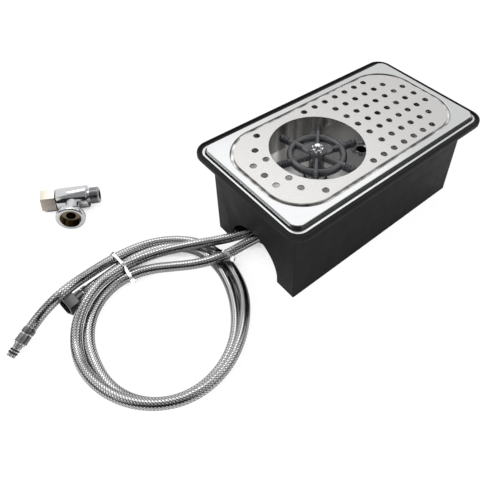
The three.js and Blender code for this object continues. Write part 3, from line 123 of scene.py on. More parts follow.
def rotate(bm, verts, axis, degrees):
    bmesh.ops.rotate(bm, matrix=Matrix.Rotation(math.radians(degrees), 3, axis), verts=verts)


def face_outwards(bm):
    bmesh.ops.recalc_face_normals(bm, faces=bm.faces)


def bare_tree(owner):
    """The empty node tree of a world or a material."""
    owner.use_nodes = True
    owner.node_tree.nodes.clear()
    return owner.node_tree


def add_node(tree, kind, inputs, output=0, **settings):
    """Makes a node, feeds its inputs with values or links, and gives one output."""
    made = tree.nodes.new("ShaderNode" + kind)
    for setting, value in settings.items():
        setattr(made, setting, value)
    for key, value in inputs.items():
        if isinstance(value, bpy.types.NodeSocket):
            tree.links.new(value, made.inputs[key])
        else:
            made.inputs[key].default_value = value
    return made.outputs[output]


def maths(tree, operation, *values):
    """One sum or test on numbers or other nodes' outputs."""
    return add_node(tree, "Math", dict(enumerate(values)), operation=operation)


def remap(tree, value, lowest, highest, low=0.0, high=1.0):
    """Maps lowest to low and highest to high, and goes no further."""
    return add_node(tree, "MapRange", {"Value": value, "From Min": lowest, "From Max": highest,
                                       "To Min": low, "To Max": high}, "Result")


def mixed(tree, share, first, second, **settings):
    """first where share is 0, second where it is 1, and a blend in between."""
    inputs = {"Factor": share, "A": first, "B": second}
    return add_node(tree, "Mix", inputs, "Result", **settings)


def split(tree, vector):
    """A vector's X, Y and Z."""
    parts = tree.nodes.new("ShaderNodeSeparateXYZ")
    tree.links.new(vector, parts.inputs[0])
    return tuple(parts.outputs)


def close_tree(tree, kind, shader):
    """Links a shader to the tree's output node."""
    tree.links.new(shader, tree.nodes.new("ShaderNodeOutput" + kind).inputs[0])


# %% [markdown]
# ## Floor, world and lamps
# A product picture has a white floor and soft light from large boxes above. The floor and the
# world look white to the camera and to mirrors, and stay plain for the light that falls on the
# object. The floor's glow fades where hardly any sky reaches it, so it is dark under the hoses,
# and it has no glow at all deep inside the housing. Polished metal only looks like metal when
# it has something dark to mirror, so a low dark wall goes nearly all round, and cards hang
# where the picture's metal shows dark, grey, or one bright line along a hose. All but one of
# the lamps only fill the shade, and leave mirrors alone.

# %% Floor and world
WHITE = (1, 1, 1, 1)
FLOOR_GREY = (0.8, 0.8, 0.8, 1)
SHADOW_GREY = (0.09, 0.09, 0.09, 1)
FLOOR_Z = -0.0005
SKY_REACH = 0.35
MIRROR_GLOW = (0.2, 1.0, 0.0, 0.85)  # sky from 0.2 to 1.0 gives a glow from 0 to 0.85
CAMERA_GLOW = (0.05, 0.14, 0.0, 0.93)
ARCH_SLANT, DEEP_FROM = 0.3, -0.098  # the slanted line behind which the floor is dark
HOUSING_END, HALF_WIDTH = 0.148, 0.073


def shown_to_eye(tree):
    """1 for rays from the camera, from mirrors and through glass, and 0 for scattered light."""
    path = tree.nodes.new("ShaderNodeLightPath").outputs
    direct = maths(tree, "MAXIMUM", path["Is Camera Ray"], path["Is Glossy Ray"])
    return maths(tree, "MAXIMUM", direct, path["Is Transmission Ray"])


world = bpy.data.worlds.new("studio")
tree = bare_tree(world)
fill = add_node(tree, "Background", {"Color": WHITE, "Strength": 0.8})
seen = add_node(tree, "Background", {"Color": WHITE, "Strength": 1.0})
close_tree(tree, "World", add_node(tree, "MixShader", {0: shown_to_eye(tree), 1: fill, 2: seen}))
bpy.context.scene.world = world
bpy.context.scene.view_settings.view_transform = "Standard"


def flat_card(name, size, material):
    """A level square card, which is moved and turned by its object."""
    bm = bmesh.new()
    bmesh.ops.create_grid(bm, x_segments=1, y_segments=1, size=size)
    card = mesh_object(name, bm)
    card.data.materials.append(material)
    return card


white_floor = bpy.data.materials.new("white_floor")
tree = bare_tree(white_floor)
open_sky = add_node(tree, "AmbientOcclusion", {"Distance": SKY_REACH}, "AO", samples=8)
to_camera = add_node(tree, "LightPath", {}, "Is Camera Ray")
open_glow = mixed(tree, to_camera, remap(tree, open_sky, *MIRROR_GLOW),
                  remap(tree, open_sky, *CAMERA_GLOW))
# Painted shadow: the floor gets no glow at all inside the housing, behind a slanted line.
x, y, _ = split(tree, add_node(tree, "NewGeometry", {}, "Position"))
depth = maths(tree, "MULTIPLY_ADD", y, ARCH_SLANT, x)
deep = maths(tree, "GREATER_THAN", depth, DEEP_FROM)
before_end = maths(tree, "LESS_THAN", x, HOUSING_END)
between_walls = maths(tree, "COMPARE", y, MIDDLE_Y * MM, HALF_WIDTH)
under = maths(tree, "MULTIPLY", maths(tree, "MULTIPLY", deep, before_end), between_walls)
glow = add_node(tree, "Emission", {"Strength": mixed(tree, under, open_glow, 0)})
shadowed = add_node(tree, "BsdfDiffuse", {"Color": SHADOW_GREY})
both = add_node(tree, "AddShader", {0: shadowed, 1: glow})
plain = add_node(tree, "BsdfDiffuse", {"Color": FLOOR_GREY})
close_tree(tree, "Material",
           add_node(tree, "MixShader", {0: shown_to_eye(tree), 1: plain, 2: both}))
floor = flat_card("floor", 3.0, white_floor)
floor.location.z = FLOOR_Z

# %% Lamps and cards
def facing(place, target, axis):
    """The turn that points an object's axis from place to target."""
    return (Vector(target) - Vector(place)).to_track_quat(axis, "Y").to_euler()


for name, size, power, place, target in (
    ("top_box", (1.6, 1.0), 12, (-0.2, 0.0, 1.7), (-0.05, 0.05, 0.1)),
    ("rear_box", (1.0, 0.6), 0.8, (0.75, 1.0, 1.45), (-0.05, 0.1, 0.1)),
    ("front_box", (0.8, 0.6), 1, (0.2, -1.6, 0.9), (0.0, 0.0, 0.1)),
    ("left_box", (0.8, 0.6), 30, (-1.6, 0.1, 0.9), (-0.1, 0.05, 0.1)),
):
    data = bpy.data.lights.new(name, "AREA")
    data.shape = "RECTANGLE"
    data.size, data.size_y = size
    data.energy = power
    lamp = into_scene(name, data)
    lamp.location = place
    lamp.rotation_euler = facing(place, target, "-Z")
    lamp.visible_glossy = name == "rear_box"


def card_finish(name, brightness):
    """An even glow that no lamp changes: a grey below 1, and a bright card above it."""
    material = bpy.data.materials.new(name)
    tree = bare_tree(material)
    grey = (brightness, brightness, brightness, 1)
    close_tree(tree, "Material", add_node(tree, "Emission", {"Color": grey}))
    return material


def only_in_mirrors(card):
    card.visible_camera = False
    card.visible_diffuse = False
    card.visible_shadow = False


for name, size, place, target, brightness in (
    ("rear_card", (1.3, 1.5), (1.75, 1.1, 1.0), (0, 0.1, 1.0), 0.88),
    ("dark_card", (2.4, 1.55), (-1.15, -1.1, 0.86), (0, 0.05, 0.86), 0.02),
    ("ceiling", (2.6, 2.6), (-0.95, -0.85, 1.95), (-0.95, -0.85, 0), 0.34),
    ("glint", (0.8, 0.6), (-0.05, 0.92, 1.45), (-0.05, 0.92, 0), 2.6),
):
    card = flat_card(name, 0.5, card_finish(name + "_grey", brightness))
    card.scale = (*size, 1)
    card.location = place
    card.rotation_euler = facing(place, target, "Z")
    only_in_mirrors(card)

WALL_RADIUS, GAP_FROM_Y = 2.3, 2.0
bm = bmesh.new()
bmesh.ops.create_cone(bm, cap_ends=False, segments=64, radius1=WALL_RADIUS, radius2=WALL_RADIUS,
                      depth=1.0)
move(bm, bm.verts, 0, 0, 0.52)
gap = [f for f in bm.faces if f.calc_center_median().y > GAP_FROM_Y]
bmesh.ops.delete(bm, geom=gap, context="FACES")
low_wall = mesh_object("low_wall", bm)
low_wall.data.materials.append(card_finish("low_wall_grey", 0.06))
only_in_mirrors(low_wall)

# %% [markdown]
# ## Helpers for shaping
# Three ways of shaping make nearly all of this object. A pressed or moulded part is a stack of
# rounded rectangles, joined by bridging one outline to the next. A turned part is a profile
# spun about an axis. And a sharp machined edge is bevelled a little, so that it catches light.

# %% Outlines, bridges and spins
def outline(bm, half_x, half_y, corner, z, steps):
    """The edges of a rounded rectangle at height z: one face, its corners bevelled."""
    before = set(bm.faces)
    verts = bmesh.ops.create_grid(bm, x_segments=1, y_segments=1, size=1)["verts"]
    resize(bm, verts, half_x, half_y, 1)
    move(bm, verts, 0, 0, z)
    bmesh.ops.bevel(bm, geom=verts, offset=corner, offset_type="OFFSET", affect="VERTICES",
                    segments=steps, profile=0.5, material=-1)
    face = next(f for f in bm.faces if f not in before)
    edges = list(face.edges)
    bmesh.ops.delete(bm, geom=[face], context="FACES_ONLY")
    return edges


def loft(bm, stations, steps, ring=False):
    """Bridges a row of (half_x, half_y, corner, z) outlines."""
    loops = [outline(bm, *station, steps) for station in stations]
    pairs = list(zip(loops, loops[1:]))
    if ring:
        pairs.append((loops[-1], loops[0]))
    for one, other in pairs:
        bmesh.ops.bridge_loops(bm, edges=one + other)


def spun(bm, profile, sides, closed=True):
    """Spins a profile of (radius, height) about Z. A closed profile is a ring's section."""
    verts = [bm.verts.new((radius, 0, height)) for radius, height in profile]
    edges = [bm.edges.new(pair) for pair in zip(verts, verts[1:])]
    if closed:
        edges.append(bm.edges.new((verts[-1], verts[0])))
    known = set(bm.verts) - set(verts)
    bmesh.ops.spin(bm, geom=verts + edges, cent=(0, 0, 0), axis=(0, 0, 1),
                   angle=2 * math.pi, steps=sides, use_merge=True)
    fresh = [v for v in bm.verts if v not in known]
    bmesh.ops.remove_doubles(bm, verts=fresh, dist=0.0005)
    return [v for v in bm.verts if v.is_valid and v not in known]


def round_edges(bm, edges, width, segments, **more):
    bmesh.ops.bevel(bm, geom=edges, offset=width, offset_type="OFFSET", affect="EDGES",
                    segments=segments, profile=0.5, material=-1, **more)


def soften(bm, width, segments=2, angle=35, among=None):
    """Bevels each edge that turns by more than angle degrees."""
    face_outwards(bm)
    limit = math.radians(angle)
    sharp = [e for e in bm.edges if len(e.link_faces) == 2 and e.calc_face_angle() > limit
             and (among is None or among(e))]
    round_edges(bm, sharp, width, segments, clamp_overlap=True)


def verts_of(geometry):
    """The points in what an operator gave back."""
    return [item for item in geometry if isinstance(item, bmesh.types.BMVert)]


def edges_at(verts):
    return list({e for v in verts for e in v.link_edges})


def grow(bm, edges):
    """Extrudes a loop of edges, and gives the new points and the new loop."""
    grown = bmesh.ops.extrude_edge_only(bm, edges=edges)["geom"]
    verts = verts_of(grown)
    return verts, [e for e in grown if isinstance(e, bmesh.types.BMEdge)
                   and all(v in verts for v in e.verts)]


def circle(bm, sides, radius, x=0, y=0, z=0):
    """The points of a level circle round (x, y, z)."""
    verts = bmesh.ops.create_circle(bm, segments=sides, radius=radius)["verts"]
    move(bm, verts, x, y, z)
    return verts


def pull(bm, faces, rise):
    """Extrudes faces upwards, in one piece where they meet."""
    grown = bmesh.ops.extrude_face_region(bm, geom=faces)["geom"]
    move(bm, verts_of(grown), 0, 0, rise)


def round_ring(bm, radius, height, half_width, half_height, sides, steps):
    """A ring about Z with an oval section, as the first thing in bm."""
    section = circle(bm, sides, 1)
    rotate(bm, section, "X", 90)
    resize(bm, section, half_width, 1, half_height)
    move(bm, section, radius, 0, height)
    bmesh.ops.spin(bm, geom=bm.verts[:] + bm.edges[:], cent=(0, 0, 0), axis=(0, 0, 1),
                   angle=2 * math.pi, steps=steps, use_merge=True)


def turn_of(vert):
    """How far round Z a point lies, in degrees."""
    return math.degrees(math.atan2(vert.co.y, vert.co.x))


# %% [markdown]
# ## One way to finish a piece
# Each piece ends the same way: its doubles are merged, its faces are turned outwards, it is
# shaded smooth apart from its sharp edges, and it is scaled to metres and moved into the frame.
# Then it rides on a body of the CAD model, and the CAD solids it stands for are hidden.

# %% Finish a piece
def finish_piece(bm, name, material, body, stands_for=(), place=None, smooth=38,
                 others=()):
    """others are further materials, each with the test that picks its faces."""
    bmesh.ops.remove_doubles(bm, verts=bm.verts, dist=0.0005)
    face_outwards(bm)
    for face in bm.faces:
        face.smooth = abs(face.normal.z) < 0.9995
        face.material_index = next(
            (i + 1 for i, (_, picks) in enumerate(others) if picks(face)), 0)
    if place is not None:
        bmesh.ops.transform(bm, matrix=place, verts=bm.verts)
    move(bm, bm.verts, 0, MIDDLE_Y, 0)
    resize(bm, bm.verts, MM, MM, MM)
    limit = math.radians(smooth)
    for edge in bm.edges:
        if len(edge.link_faces) == 2:
            edge.smooth = edge.calc_face_angle() < limit
    piece = mesh_object(name, bm)
    mesh = piece.data
    for coat in (material, *(coat for coat, _ in others)):
        mesh.materials.append(coat)
    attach(piece, body)
    if stands_for:
        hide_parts(*stands_for)
    print(name, len(mesh.vertices), "vertices, lowest at",
          round(min(v.co.z for v in mesh.vertices) / MM, 2), "mm")
    return piece


# %% [markdown]
# ## Finishes
# Every finish is one Principled shader with its detail from noise on Object coordinates, which
# are the frame's own metres. A noise scale of 1000 gives a grain of about a millimetre.

# %% Helpers for materials
def new_finish(name, colour, metallic, roughness):
    """A material with its Principled shader set up."""
    material = bpy.data.materials.new(name)
    material.use_nodes = True
    shader = material.node_tree.nodes["Principled BSDF"]
    shader.inputs["Base Color"].default_value = (*colour, 1)
    shader.inputs["Metallic"].default_value = metallic
    shader.inputs["Roughness"].default_value = roughness
    return material, material.node_tree, shader


def noise(tree, scale, stretch=(1, 1, 1), detail=3.0):
    """Noise in the frame's metres, drawn out along an axis by a small stretch."""
    where = add_node(tree, "TexCoord", {}, "Object")
    drawn = add_node(tree, "Mapping", {"Vector": where, "Scale": stretch}, "Vector")
    return add_node(tree, "TexNoise", {"Vector": drawn, "Scale": scale, "Detail": detail}, "Fac")


def spread(tree, value, low, high):
    """Maps 0.3 to 0.7, which is most of what noise gives, to low and high."""
    return remap(tree, value, 0.3, 0.7, low, high)


def blend_colours(tree, share, first, second):
    return mixed(tree, share, (*first, 1), (*second, 1), data_type="RGBA")


def add_bump(tree, shader, value, height, strength):
    """Bumps of that height in metres."""
    bump = {"Height": value, "Distance": height, "Strength": strength}
    tree.links.new(add_node(tree, "Bump", bump, "Normal"), shader.inputs["Normal"])


def finish(name, colour, metallic, roughness, worn, tint=None, bump=None, also=None):
    """A finish with uneven roughness. worn starts with the lowest and highest roughness, tint
    with two colours and bump with a height and a strength, and then comes what noise takes."""
    material, tree, shader = new_finish(name, colour, metallic, roughness)
    low, high, *grain = worn
    tree.links.new(spread(tree, noise(tree, *grain), low, high), shader.inputs["Roughness"])
    if tint:
        first, second, *grain = tint
        share = spread(tree, noise(tree, *grain), 0, 1)
        tree.links.new(blend_colours(tree, share, first, second), shader.inputs["Base Color"])
    if bump:
        height, strength, *grain = bump
        add_bump(tree, shader, noise(tree, *grain), height, strength)
    for socket, value in (also or {}).items():
        shader.inputs[socket].default_value = value
    return material


# %% [markdown]
# ### Plastics and rubber
# The housing is black plastic with a fine even spark texture, and the star is a dark blue grey
# with a smoother skin. Both get a little dust and wear in their roughness, since a single value
# looks like a computer's plastic. Rubber is darker and nearly matt.

# %% Plastics and rubber
black_plastic = finish("black_plastic", (0.0085, 0.0085, 0.0089), 0, 0.42, (0.38, 0.47, 60),
                       bump=(0.00006, 0.5, 2600, (1, 1, 1), 2),
                       also={"Specular IOR Level": 0.09})
star_plastic = finish("star_plastic", (0.026, 0.027, 0.03), 0, 0.26, (0.22, 0.32, 90),
                      tint=((0.022, 0.023, 0.026), (0.031, 0.032, 0.035), 140),
                      bump=(0.00005, 0.4, 1800, (1, 1, 1), 2),
                      also={"Specular IOR Level": 0.75})
rubber = finish("rubber", (0.012, 0.012, 0.012), 0, 0.6, (0.5, 0.7, 400))
white_nylon = finish("white_nylon", (0.88, 0.88, 0.87), 0, 0.4, (0.34, 0.48, 300),
                     also={"Subsurface Weight": 0.2, "Subsurface Radius": (MM, MM, MM)})
clear_nylon = finish("clear_nylon", (0.86, 0.86, 0.84), 0, 0.35, (0.3, 0.42, 300),
                     also={"Transmission Weight": 0.2})

# %% [markdown]
# ### Steel, chrome and brass
# The pan and the plate are rolled stainless with a satin finish. Its grain runs along the
# sheet, so the noise is drawn out along X, and it is faint. Chrome is the same shader with
# hardly any roughness, and the fittings under the counter are duller.

# %% Metals
satin_steel = finish("satin_steel", (0.63, 0.624, 0.613), 1, 0.28,
                     (0.265, 0.295, 900, (0.06, 1, 1)),
                     tint=((0.62, 0.614, 0.603), (0.64, 0.634, 0.623), 500, (0.05, 1, 1)),
                     bump=(0.000004, 0.1, 1600, (0.04, 1, 1)))
pressed_steel = finish("pressed_steel", (0.67, 0.675, 0.68), 1, 0.16,
                       (0.12, 0.21, 300, (0.3, 1, 1)), bump=(0.0001, 0.06, 120))
# Painted shade and painted light: the basin's walls are darker than the pan, with upright streaks
# of painted light from the plate's holes.
basin_painted_shade_and_light = finish("basin_painted_shade_and_light", (0.66, 0.65, 0.635), 1, 0.3,
                     (0.22, 0.36, 160, (1, 1, 0.06)),
                     tint=((0.32, 0.31, 0.295), (0.97, 0.96, 0.94), 95, (1, 1, 0.03), 0),
                     bump=(0.00005, 0.1, 90, (1, 1, 0.05)))
basin_floor = finish("basin_floor", (0.74, 0.735, 0.73), 1, 0.32, (0.29, 0.36, 200),
                     tint=((0.68, 0.675, 0.67), (0.8, 0.795, 0.79), 25))
chrome = finish("chrome", (0.8, 0.805, 0.815), 1, 0.06, (0.04, 0.09, 250))
satin_chrome = finish("satin_chrome", (0.88, 0.88, 0.885), 1, 0.14, (0.12, 0.17, 500))
cast_chrome = finish("cast_chrome", (0.64, 0.645, 0.655), 1, 0.12, (0.09, 0.17, 400),
                     bump=(0.00005, 0.1, 180))
dull_chrome = finish("dull_chrome", (0.42, 0.42, 0.43), 1, 0.24, (0.2, 0.32, 500))
warm_nickel = finish("warm_nickel", (0.84, 0.765, 0.675), 1, 0.32, (0.3, 0.34, 90))
nut_nickel = finish("nut_nickel", (0.22, 0.222, 0.226), 1, 0.3, (0.24, 0.38, 700),
                    bump=(0.00003, 0.4, 1500))
brass = finish("brass", (0.34, 0.27, 0.15), 1, 0.3, (0.24, 0.4, 600))
# A darker brass as painted shade, for the inside of the tee's mouth.
painted_shade_brass = finish("painted_shade_brass", (0.2, 0.155, 0.1), 1, 0.16, (0.13, 0.2, 400))

# %% [markdown]
# ### Braid
# The hoses are covered with flat bundles of wire, half of them winding to the left and half to
# the right, each going over one and under the next. The pattern needs coordinates that follow
# the hose, so each hose has a UV map: U runs along it and V round it, both in the same unit,
# one turn. Two slanting coordinates give the two families of bundles, and a checker says
# which of them is on top. The bundles' round backs are bump, and the gaps are dark. One family
# faces the light more than the other, so it is the brighter of the two.

# %% Braid
BUNDLES = 12
SLANT = 11.5
WIRES = 9  # the wires in a bundle
WIRE_HEIGHT = 0.06
GAP, TOP = 0.3, 0.85  # the heights where a bundle is dark and fully bright
LESS_LIT = 0.58  # the brightness of the family that faces away


def braided(name, bright, dark):
    material, tree, shader = new_finish(name, bright, 1, 0.2)
    u, v, _ = split(tree, add_node(tree, "UVMap", {}, "UV"))

    def wave(value, count):
        return maths(tree, "SINE", maths(tree, "MULTIPLY", value, count * math.pi))

    along = maths(tree, "MULTIPLY", u, SLANT)
    around = maths(tree, "MULTIPLY", v, BUNDLES)
    families = [maths(tree, operation, around, along) for operation in ("ADD", "SUBTRACT")]
    backs = [maths(tree, "ABSOLUTE", wave(family, 1)) for family in families]
    checker = maths(tree, "ADD", *(maths(tree, "FLOOR", family) for family in families))
    on_top = maths(tree, "ABSOLUTE", maths(tree, "MODULO", checker, 2))
    height = mixed(tree, on_top, *backs)
    wires = maths(tree, "MULTIPLY", wave(maths(tree, "ADD", *families), WIRES), WIRE_HEIGHT)
    lit = maths(tree, "ADD", maths(tree, "MULTIPLY", on_top, 1 - LESS_LIT), LESS_LIT)
    share = maths(tree, "MULTIPLY", remap(tree, height, GAP, TOP), lit)
    tree.links.new(blend_colours(tree, share, dark, bright), shader.inputs["Base Color"])
    add_bump(tree, shader, maths(tree, "ADD", height, wires), 0.0003, 0.3)
    return material


braid = braided("braid", (0.92, 0.92, 0.925), (0.04, 0.04, 0.042))

# %% [markdown]
# ## The hoses
# The two hoses are laid in one loop and tied together. Each route below is a row of points in
# millimetres, from the hose's outer end, once round the loop and into the arch. A smooth curve
# runs through the points, and a grid is wrapped round it, with its UV map along for the ride.
# A curve object with a round bevel would also do, but its pattern would stretch at the bends.

# %% Routes
HOSE_RADIUS = 6.0
INNER_END_X = -96.0
STRAIGHT_LEAD = 16.0
PORTS = {"hose_a": 17.0, "hose_b": -8.0}
PORT_Z = (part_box("inlet_block")[0].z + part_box("inlet_block")[1].z) / 2 / MM
ROUTES = {
    "hose_a": [
        (-394.9, 72.2, 15), (-386, 75.8, 17.8), (-373.8, 77.2, 24.6), (-356.6, 76.3, 34.4),
        (-346, 79.3, 34.4), (-335.2, 83.8, 31.5), (-316.5, 93, 22.9), (-297, 100.7, 15.6),
        (-275.8, 104.7, 11), (-253.8, 104.3, 8.7), (-232.3, 99.5, 7.1), (-212.7, 89.4, 6.1),
        (-196.5, 74.4, 6.1), (-185.2, 55.5, 6.1), (-179.8, 34, 6.1), (-179.2, 11.9, 6.1),
        (-182.7, -10, 6.1), (-189.8, -30.9, 7.6), (-200.4, -49.9, 11.5), (-214, -67.1, 14.4),
        (-230, -82.3, 15.6), (-248.4, -94.6, 16.1), (-268.9, -102.7, 16.3),
        (-290.9, -105.4, 16.3), (-312.7, -102.1, 16.9), (-332.4, -92.3, 17.4),
        (-348.7, -77.4, 17.2), (-361.1, -59.1, 17.1), (-369, -38.5, 16.1), (-372.7, -16.7, 14),
        (-372.1, 5.1, 10.2), (-366.7, 26.5, 9.3), (-355.7, 45, 14), (-339.8, 58.8, 20.5),
        (-321.2, 70.4, 21.8), (-301, 78.9, 18.8), (-279.2, 81.6, 17.4), (-257.3, 78.6, 17.7),
        (-236.2, 72, 18.4), (-216.1, 62.8, 19.5), (-196.8, 51.9, 21.5), (-177.3, 41.6, 21.8),
        (-158.3, 30.6, 24.6), (-138.7, 21.7, 28.9),
    ],
    "hose_b": [
        (-327.1, 80.8, 13.6), (-319.3, 82.4, 13.1), (-306.2, 86.8, 9.4), (-284.6, 90.6, 8.3),
        (-262.6, 91.6, 8), (-240.9, 88.6, 7.3), (-220.9, 79.6, 7.7), (-204.9, 64.7, 8.5),
        (-195.1, 45.2, 8.8), (-191.6, 23.6, 8.3), (-193.2, 1.7, 7.4), (-198.9, -19.4, 6.3),
        (-207.7, -39.4, 6.1), (-219.4, -58.1, 6.1), (-234, -74.5, 6.1), (-251.8, -87.4, 6.1),
        (-272.2, -95.6, 6.1), (-293.9, -98.2, 6.1), (-315.5, -94.1, 6.1), (-334.6, -83.4, 6.1),
        (-349.4, -67.2, 6.1), (-358.8, -47.4, 6.1), (-362.5, -25.8, 6.1), (-361.4, -3.9, 6.1),
        (-356.9, 17.5, 6.1), (-347.9, 37.5, 6.1), (-333.8, 54.4, 6.4), (-315.6, 66.4, 7.2),
        (-294.3, 71.6, 8.4), (-272.9, 68.2, 10.8), (-253.7, 58, 14.1), (-236.3, 44.9, 16.6),
        (-218.5, 32, 18.2), (-199.4, 21.5, 20.1), (-178.6, 14.8, 22), (-157.1, 11, 25.4),
        (-136.7, 5, 30.9),
    ],
}


def smooth_route(points, per_span=16):
    """A centripetal Catmull-Rom curve through the points, as the CAD model uses."""
    line = [Vector(p) for p in points]
    line = [2 * line[0] - line[1]] + line + [2 * line[-1] - line[-2]]
    out = []
    for p0, p1, p2, p3 in zip(line, line[1:], line[2:], line[3:]):
        d0, d1, d2 = ((b - a).length ** 0.5 for a, b in ((p0, p1), (p1, p2), (p2, p3)))
        m1 = ((p1 - p0) / d0 - (p2 - p0) / (d0 + d1) + (p2 - p1) / d1) * d1
        m2 = ((p2 - p1) / d1 - (p3 - p1) / (d1 + d2) + (p3 - p2) / d2) * d1
        for step in range(per_span):
            t = step / per_span
            out.append((2 * t**3 - 3 * t**2 + 1) * p1 + (t**3 - 2 * t**2 + t) * m1
                       + (3 * t**2 - 2 * t**3) * p2 + (t**3 - t**2) * m2)
    return out + [line[-2]]


def evenly(points, spacing):
    """Points at equal distances along a line of many points, and the line's length."""
    marks = [0.0]
    for a, b in zip(points, points[1:]):
        marks.append(marks[-1] + (b - a).length)
    count = round(marks[-1] / spacing)
    out, at = [], 0
    for i in range(count + 1):
        want = marks[-1] * i / count
        while at < len(marks) - 2 and marks[at + 1] < want:
            at += 1
        share = (want - marks[at]) / (marks[at + 1] - marks[at])
        out.append(points[at].lerp(points[at + 1], share))
    return out, marks[-1]


def frames_along(points):
    """A direction and two crossing normals at each point, turned as little as can be."""
    ways = [(b - a).normalized() for a, b in zip(points, points[1:])]
    ways = [ways[0]] + [(a + b).normalized() for a, b in zip(ways, ways[1:])] + [ways[-1]]
    side = ways[0].cross(Vector((0, 0, 1))).normalized()
    out = []
    for way in ways:
        side = (side - way * side.dot(way)).normalized()
        out.append((way, side, way.cross(side)))
    return out


LINES = {}
for hose, route in ROUTES.items():
    leads = [(INNER_END_X - lead, PORTS[hose], PORT_Z)
             for lead in (STRAIGHT_LEAD, STRAIGHT_LEAD / 2, 0)]
    LINES[hose] = evenly(smooth_route(route + leads), 2.0)
    print(hose, "length", round(LINES[hose][1], 1), "mm")

# %% Wrap a grid round each route
SIDES = 24
TURN = 2 * math.pi * HOSE_RADIUS
for hose, (points, length) in LINES.items():
    bm = bmesh.new()
    rings = len(points)
    bmesh.ops.create_grid(bm, x_segments=rings - 1, y_segments=SIDES, size=0.5, calc_uvs=False)
    uv_layer = bm.loops.layers.uv.new("UVMap")
    for face in bm.faces:
        for loop in face.loops:
            share = loop.vert.co.x + 0.5
            loop[uv_layer].uv = (share * length / TURN, loop.vert.co.y + 0.5)
    frames = frames_along(points)
    for vert in bm.verts:
        ring = round((vert.co.x + 0.5) * (rings - 1))
        angle = 2 * math.pi * round((vert.co.y + 0.5) * SIDES) / SIDES
        way, side, rise = frames[ring]
        vert.co = points[ring] + HOSE_RADIUS * (side * math.cos(angle) + rise * math.sin(angle))
    bmesh.ops.remove_doubles(bm, verts=bm.verts, dist=0.001)
    ends = [e for e in bm.edges if e.is_boundary]
    bmesh.ops.holes_fill(bm, edges=ends, sides=0)
    finish_piece(bm, hose + "_braid", braid, "rinser", [hose])

# %% [markdown]
# ## Where each hose ends
# A hose's pieces are turned about its own axis, so they are made standing up, with Z pointing
# out of the hose, and a matrix lays them at the hose's end. The route's first two points give
# the outer end's direction, since the swivel nut must turn about exactly that line.

# %% A matrix for each end
def end_matrix(hose, outer):
    line = LINES[hose][0]
    tip, before = (Vector(p) for p in ROUTES[hose][:2]) if outer else (line[-1], line[-2])
    way = (tip - before).normalized()
    return Matrix.Translation(tip) @ way.to_track_quat("Z", "Y").to_matrix().to_4x4()


ENDS = {(hose, outer): end_matrix(hose, outer) for hose in LINES for outer in (True, False)}

# %% [markdown]
# ### Crimp ferrules
# A sleeve of thin metal is pressed onto the braid. The press leaves a groove round it, and the
# sleeve's far end is turned out a little. The groove is given bright chrome as a painted
# highlight, so that its edge shows as the bright dash on each sleeve.

# %% Crimp ferrules
FERRULE_END = 16.3
WATER_BORE = 2.4


# Painted highlight: the groove's faces get bright chrome, which the rest of the sleeve lacks.
def in_groove(face):
    middle = face.calc_center_median()
    return 5.8 < middle.z < 7 and middle.xy.length > 6


def ferrule(letter, side):
    bm = bmesh.new()
    spun(bm, [
        (WATER_BORE, 0.1), (6.4, 0.1), (6.8, 0.5), (6.8, 5.2), (6.2, 5.9), (6.2, 6.9),
        (6.6, 7.6), (6.6, FERRULE_END - 1.6), (6.9, FERRULE_END - 1.2),
        (6.9, FERRULE_END - 0.3), (6.6, FERRULE_END), (WATER_BORE, FERRULE_END),
    ], 40)
    soften(bm, 0.18, 2, 30)
    return finish_piece(bm, f"crimp_{letter}_{side}", nut_nickel, "rinser",
                        [f"hose_{letter}_{side}_ferrule"],
                        ENDS[f"hose_{letter}", side == "outer"], others=[(chrome, in_groove)])


ferrules = {letter: [ferrule(letter, side) for side in ("outer", "inner")] for letter in "ab"}

# %% [markdown]
# ### The small fitting
# One end of each hose screws straight into a tap or a block. It has a collar, a short fine
# thread and a spigot with two rubber rings in grooves. Its tip is slotted into four prongs,
# which are points of the turned shape that stay out while the slots' points go in.

# %% The small fitting and its rings
FITTING_END = FERRULE_END + 15
RING_PLACES = (FITTING_END - 6.4, FITTING_END - 3.5)
THREAD_PITCH = 0.9
PRONG, SLOT_WIDTH = 90, 26  # from one prong to the next, and the slot's part of it, in degrees
SLOT_DEPTH_RADIUS = 2.7


def small_fitting(letter, outer):
    name, node, end = f"spigot_{letter}", f"hose_{letter}", ENDS[f"hose_{letter}", outer]
    bm = bmesh.new()
    start = FERRULE_END
    profile = [(WATER_BORE, start), (5.8, start), (5.8, start + 2)]
    height = start + 2.4
    while height < start + 5.8:
        profile += [(4.3, height), (4.9, height + 0.3), (4.9, height + 0.5), (4.3, height + 0.8)]
        height += THREAD_PITCH
    profile += [(4.2, start + 6.8)]
    for place in RING_PLACES:
        profile += [(4.2, place - 0.9), (3.5, place - 0.9), (3.5, place + 0.9),
                    (4.2, place + 0.9)]
    profile += [(4.4, FITTING_END - 2.4), (4.6, FITTING_END - 2.2), (4.6, FITTING_END + 0.6),
                (4.2, FITTING_END + 1), (WATER_BORE, FITTING_END + 1)]
    for vert in spun(bm, profile, 48):
        in_slot = turn_of(vert) % PRONG < SLOT_WIDTH
        if vert.co.z > FITTING_END - 2.3 and vert.co.xy.length > 4 and in_slot:
            vert.co.xy *= SLOT_DEPTH_RADIUS / vert.co.xy.length
    made = [finish_piece(bm, name, cast_chrome, "rinser", [node + "_fitting"], end)]
    for number, place in enumerate(RING_PLACES, 1):
        bm = bmesh.new()
        round_ring(bm, 4.35, place, 0.85, 0.85, 14, 32)
        made.append(finish_piece(bm, f"{name}_ring_{number}", rubber, "rinser",
                                 [f"{node}_o_ring_{number}"], end))
    return made


fittings = {"a": small_fitting("a", True), "b": small_fitting("b", False)}

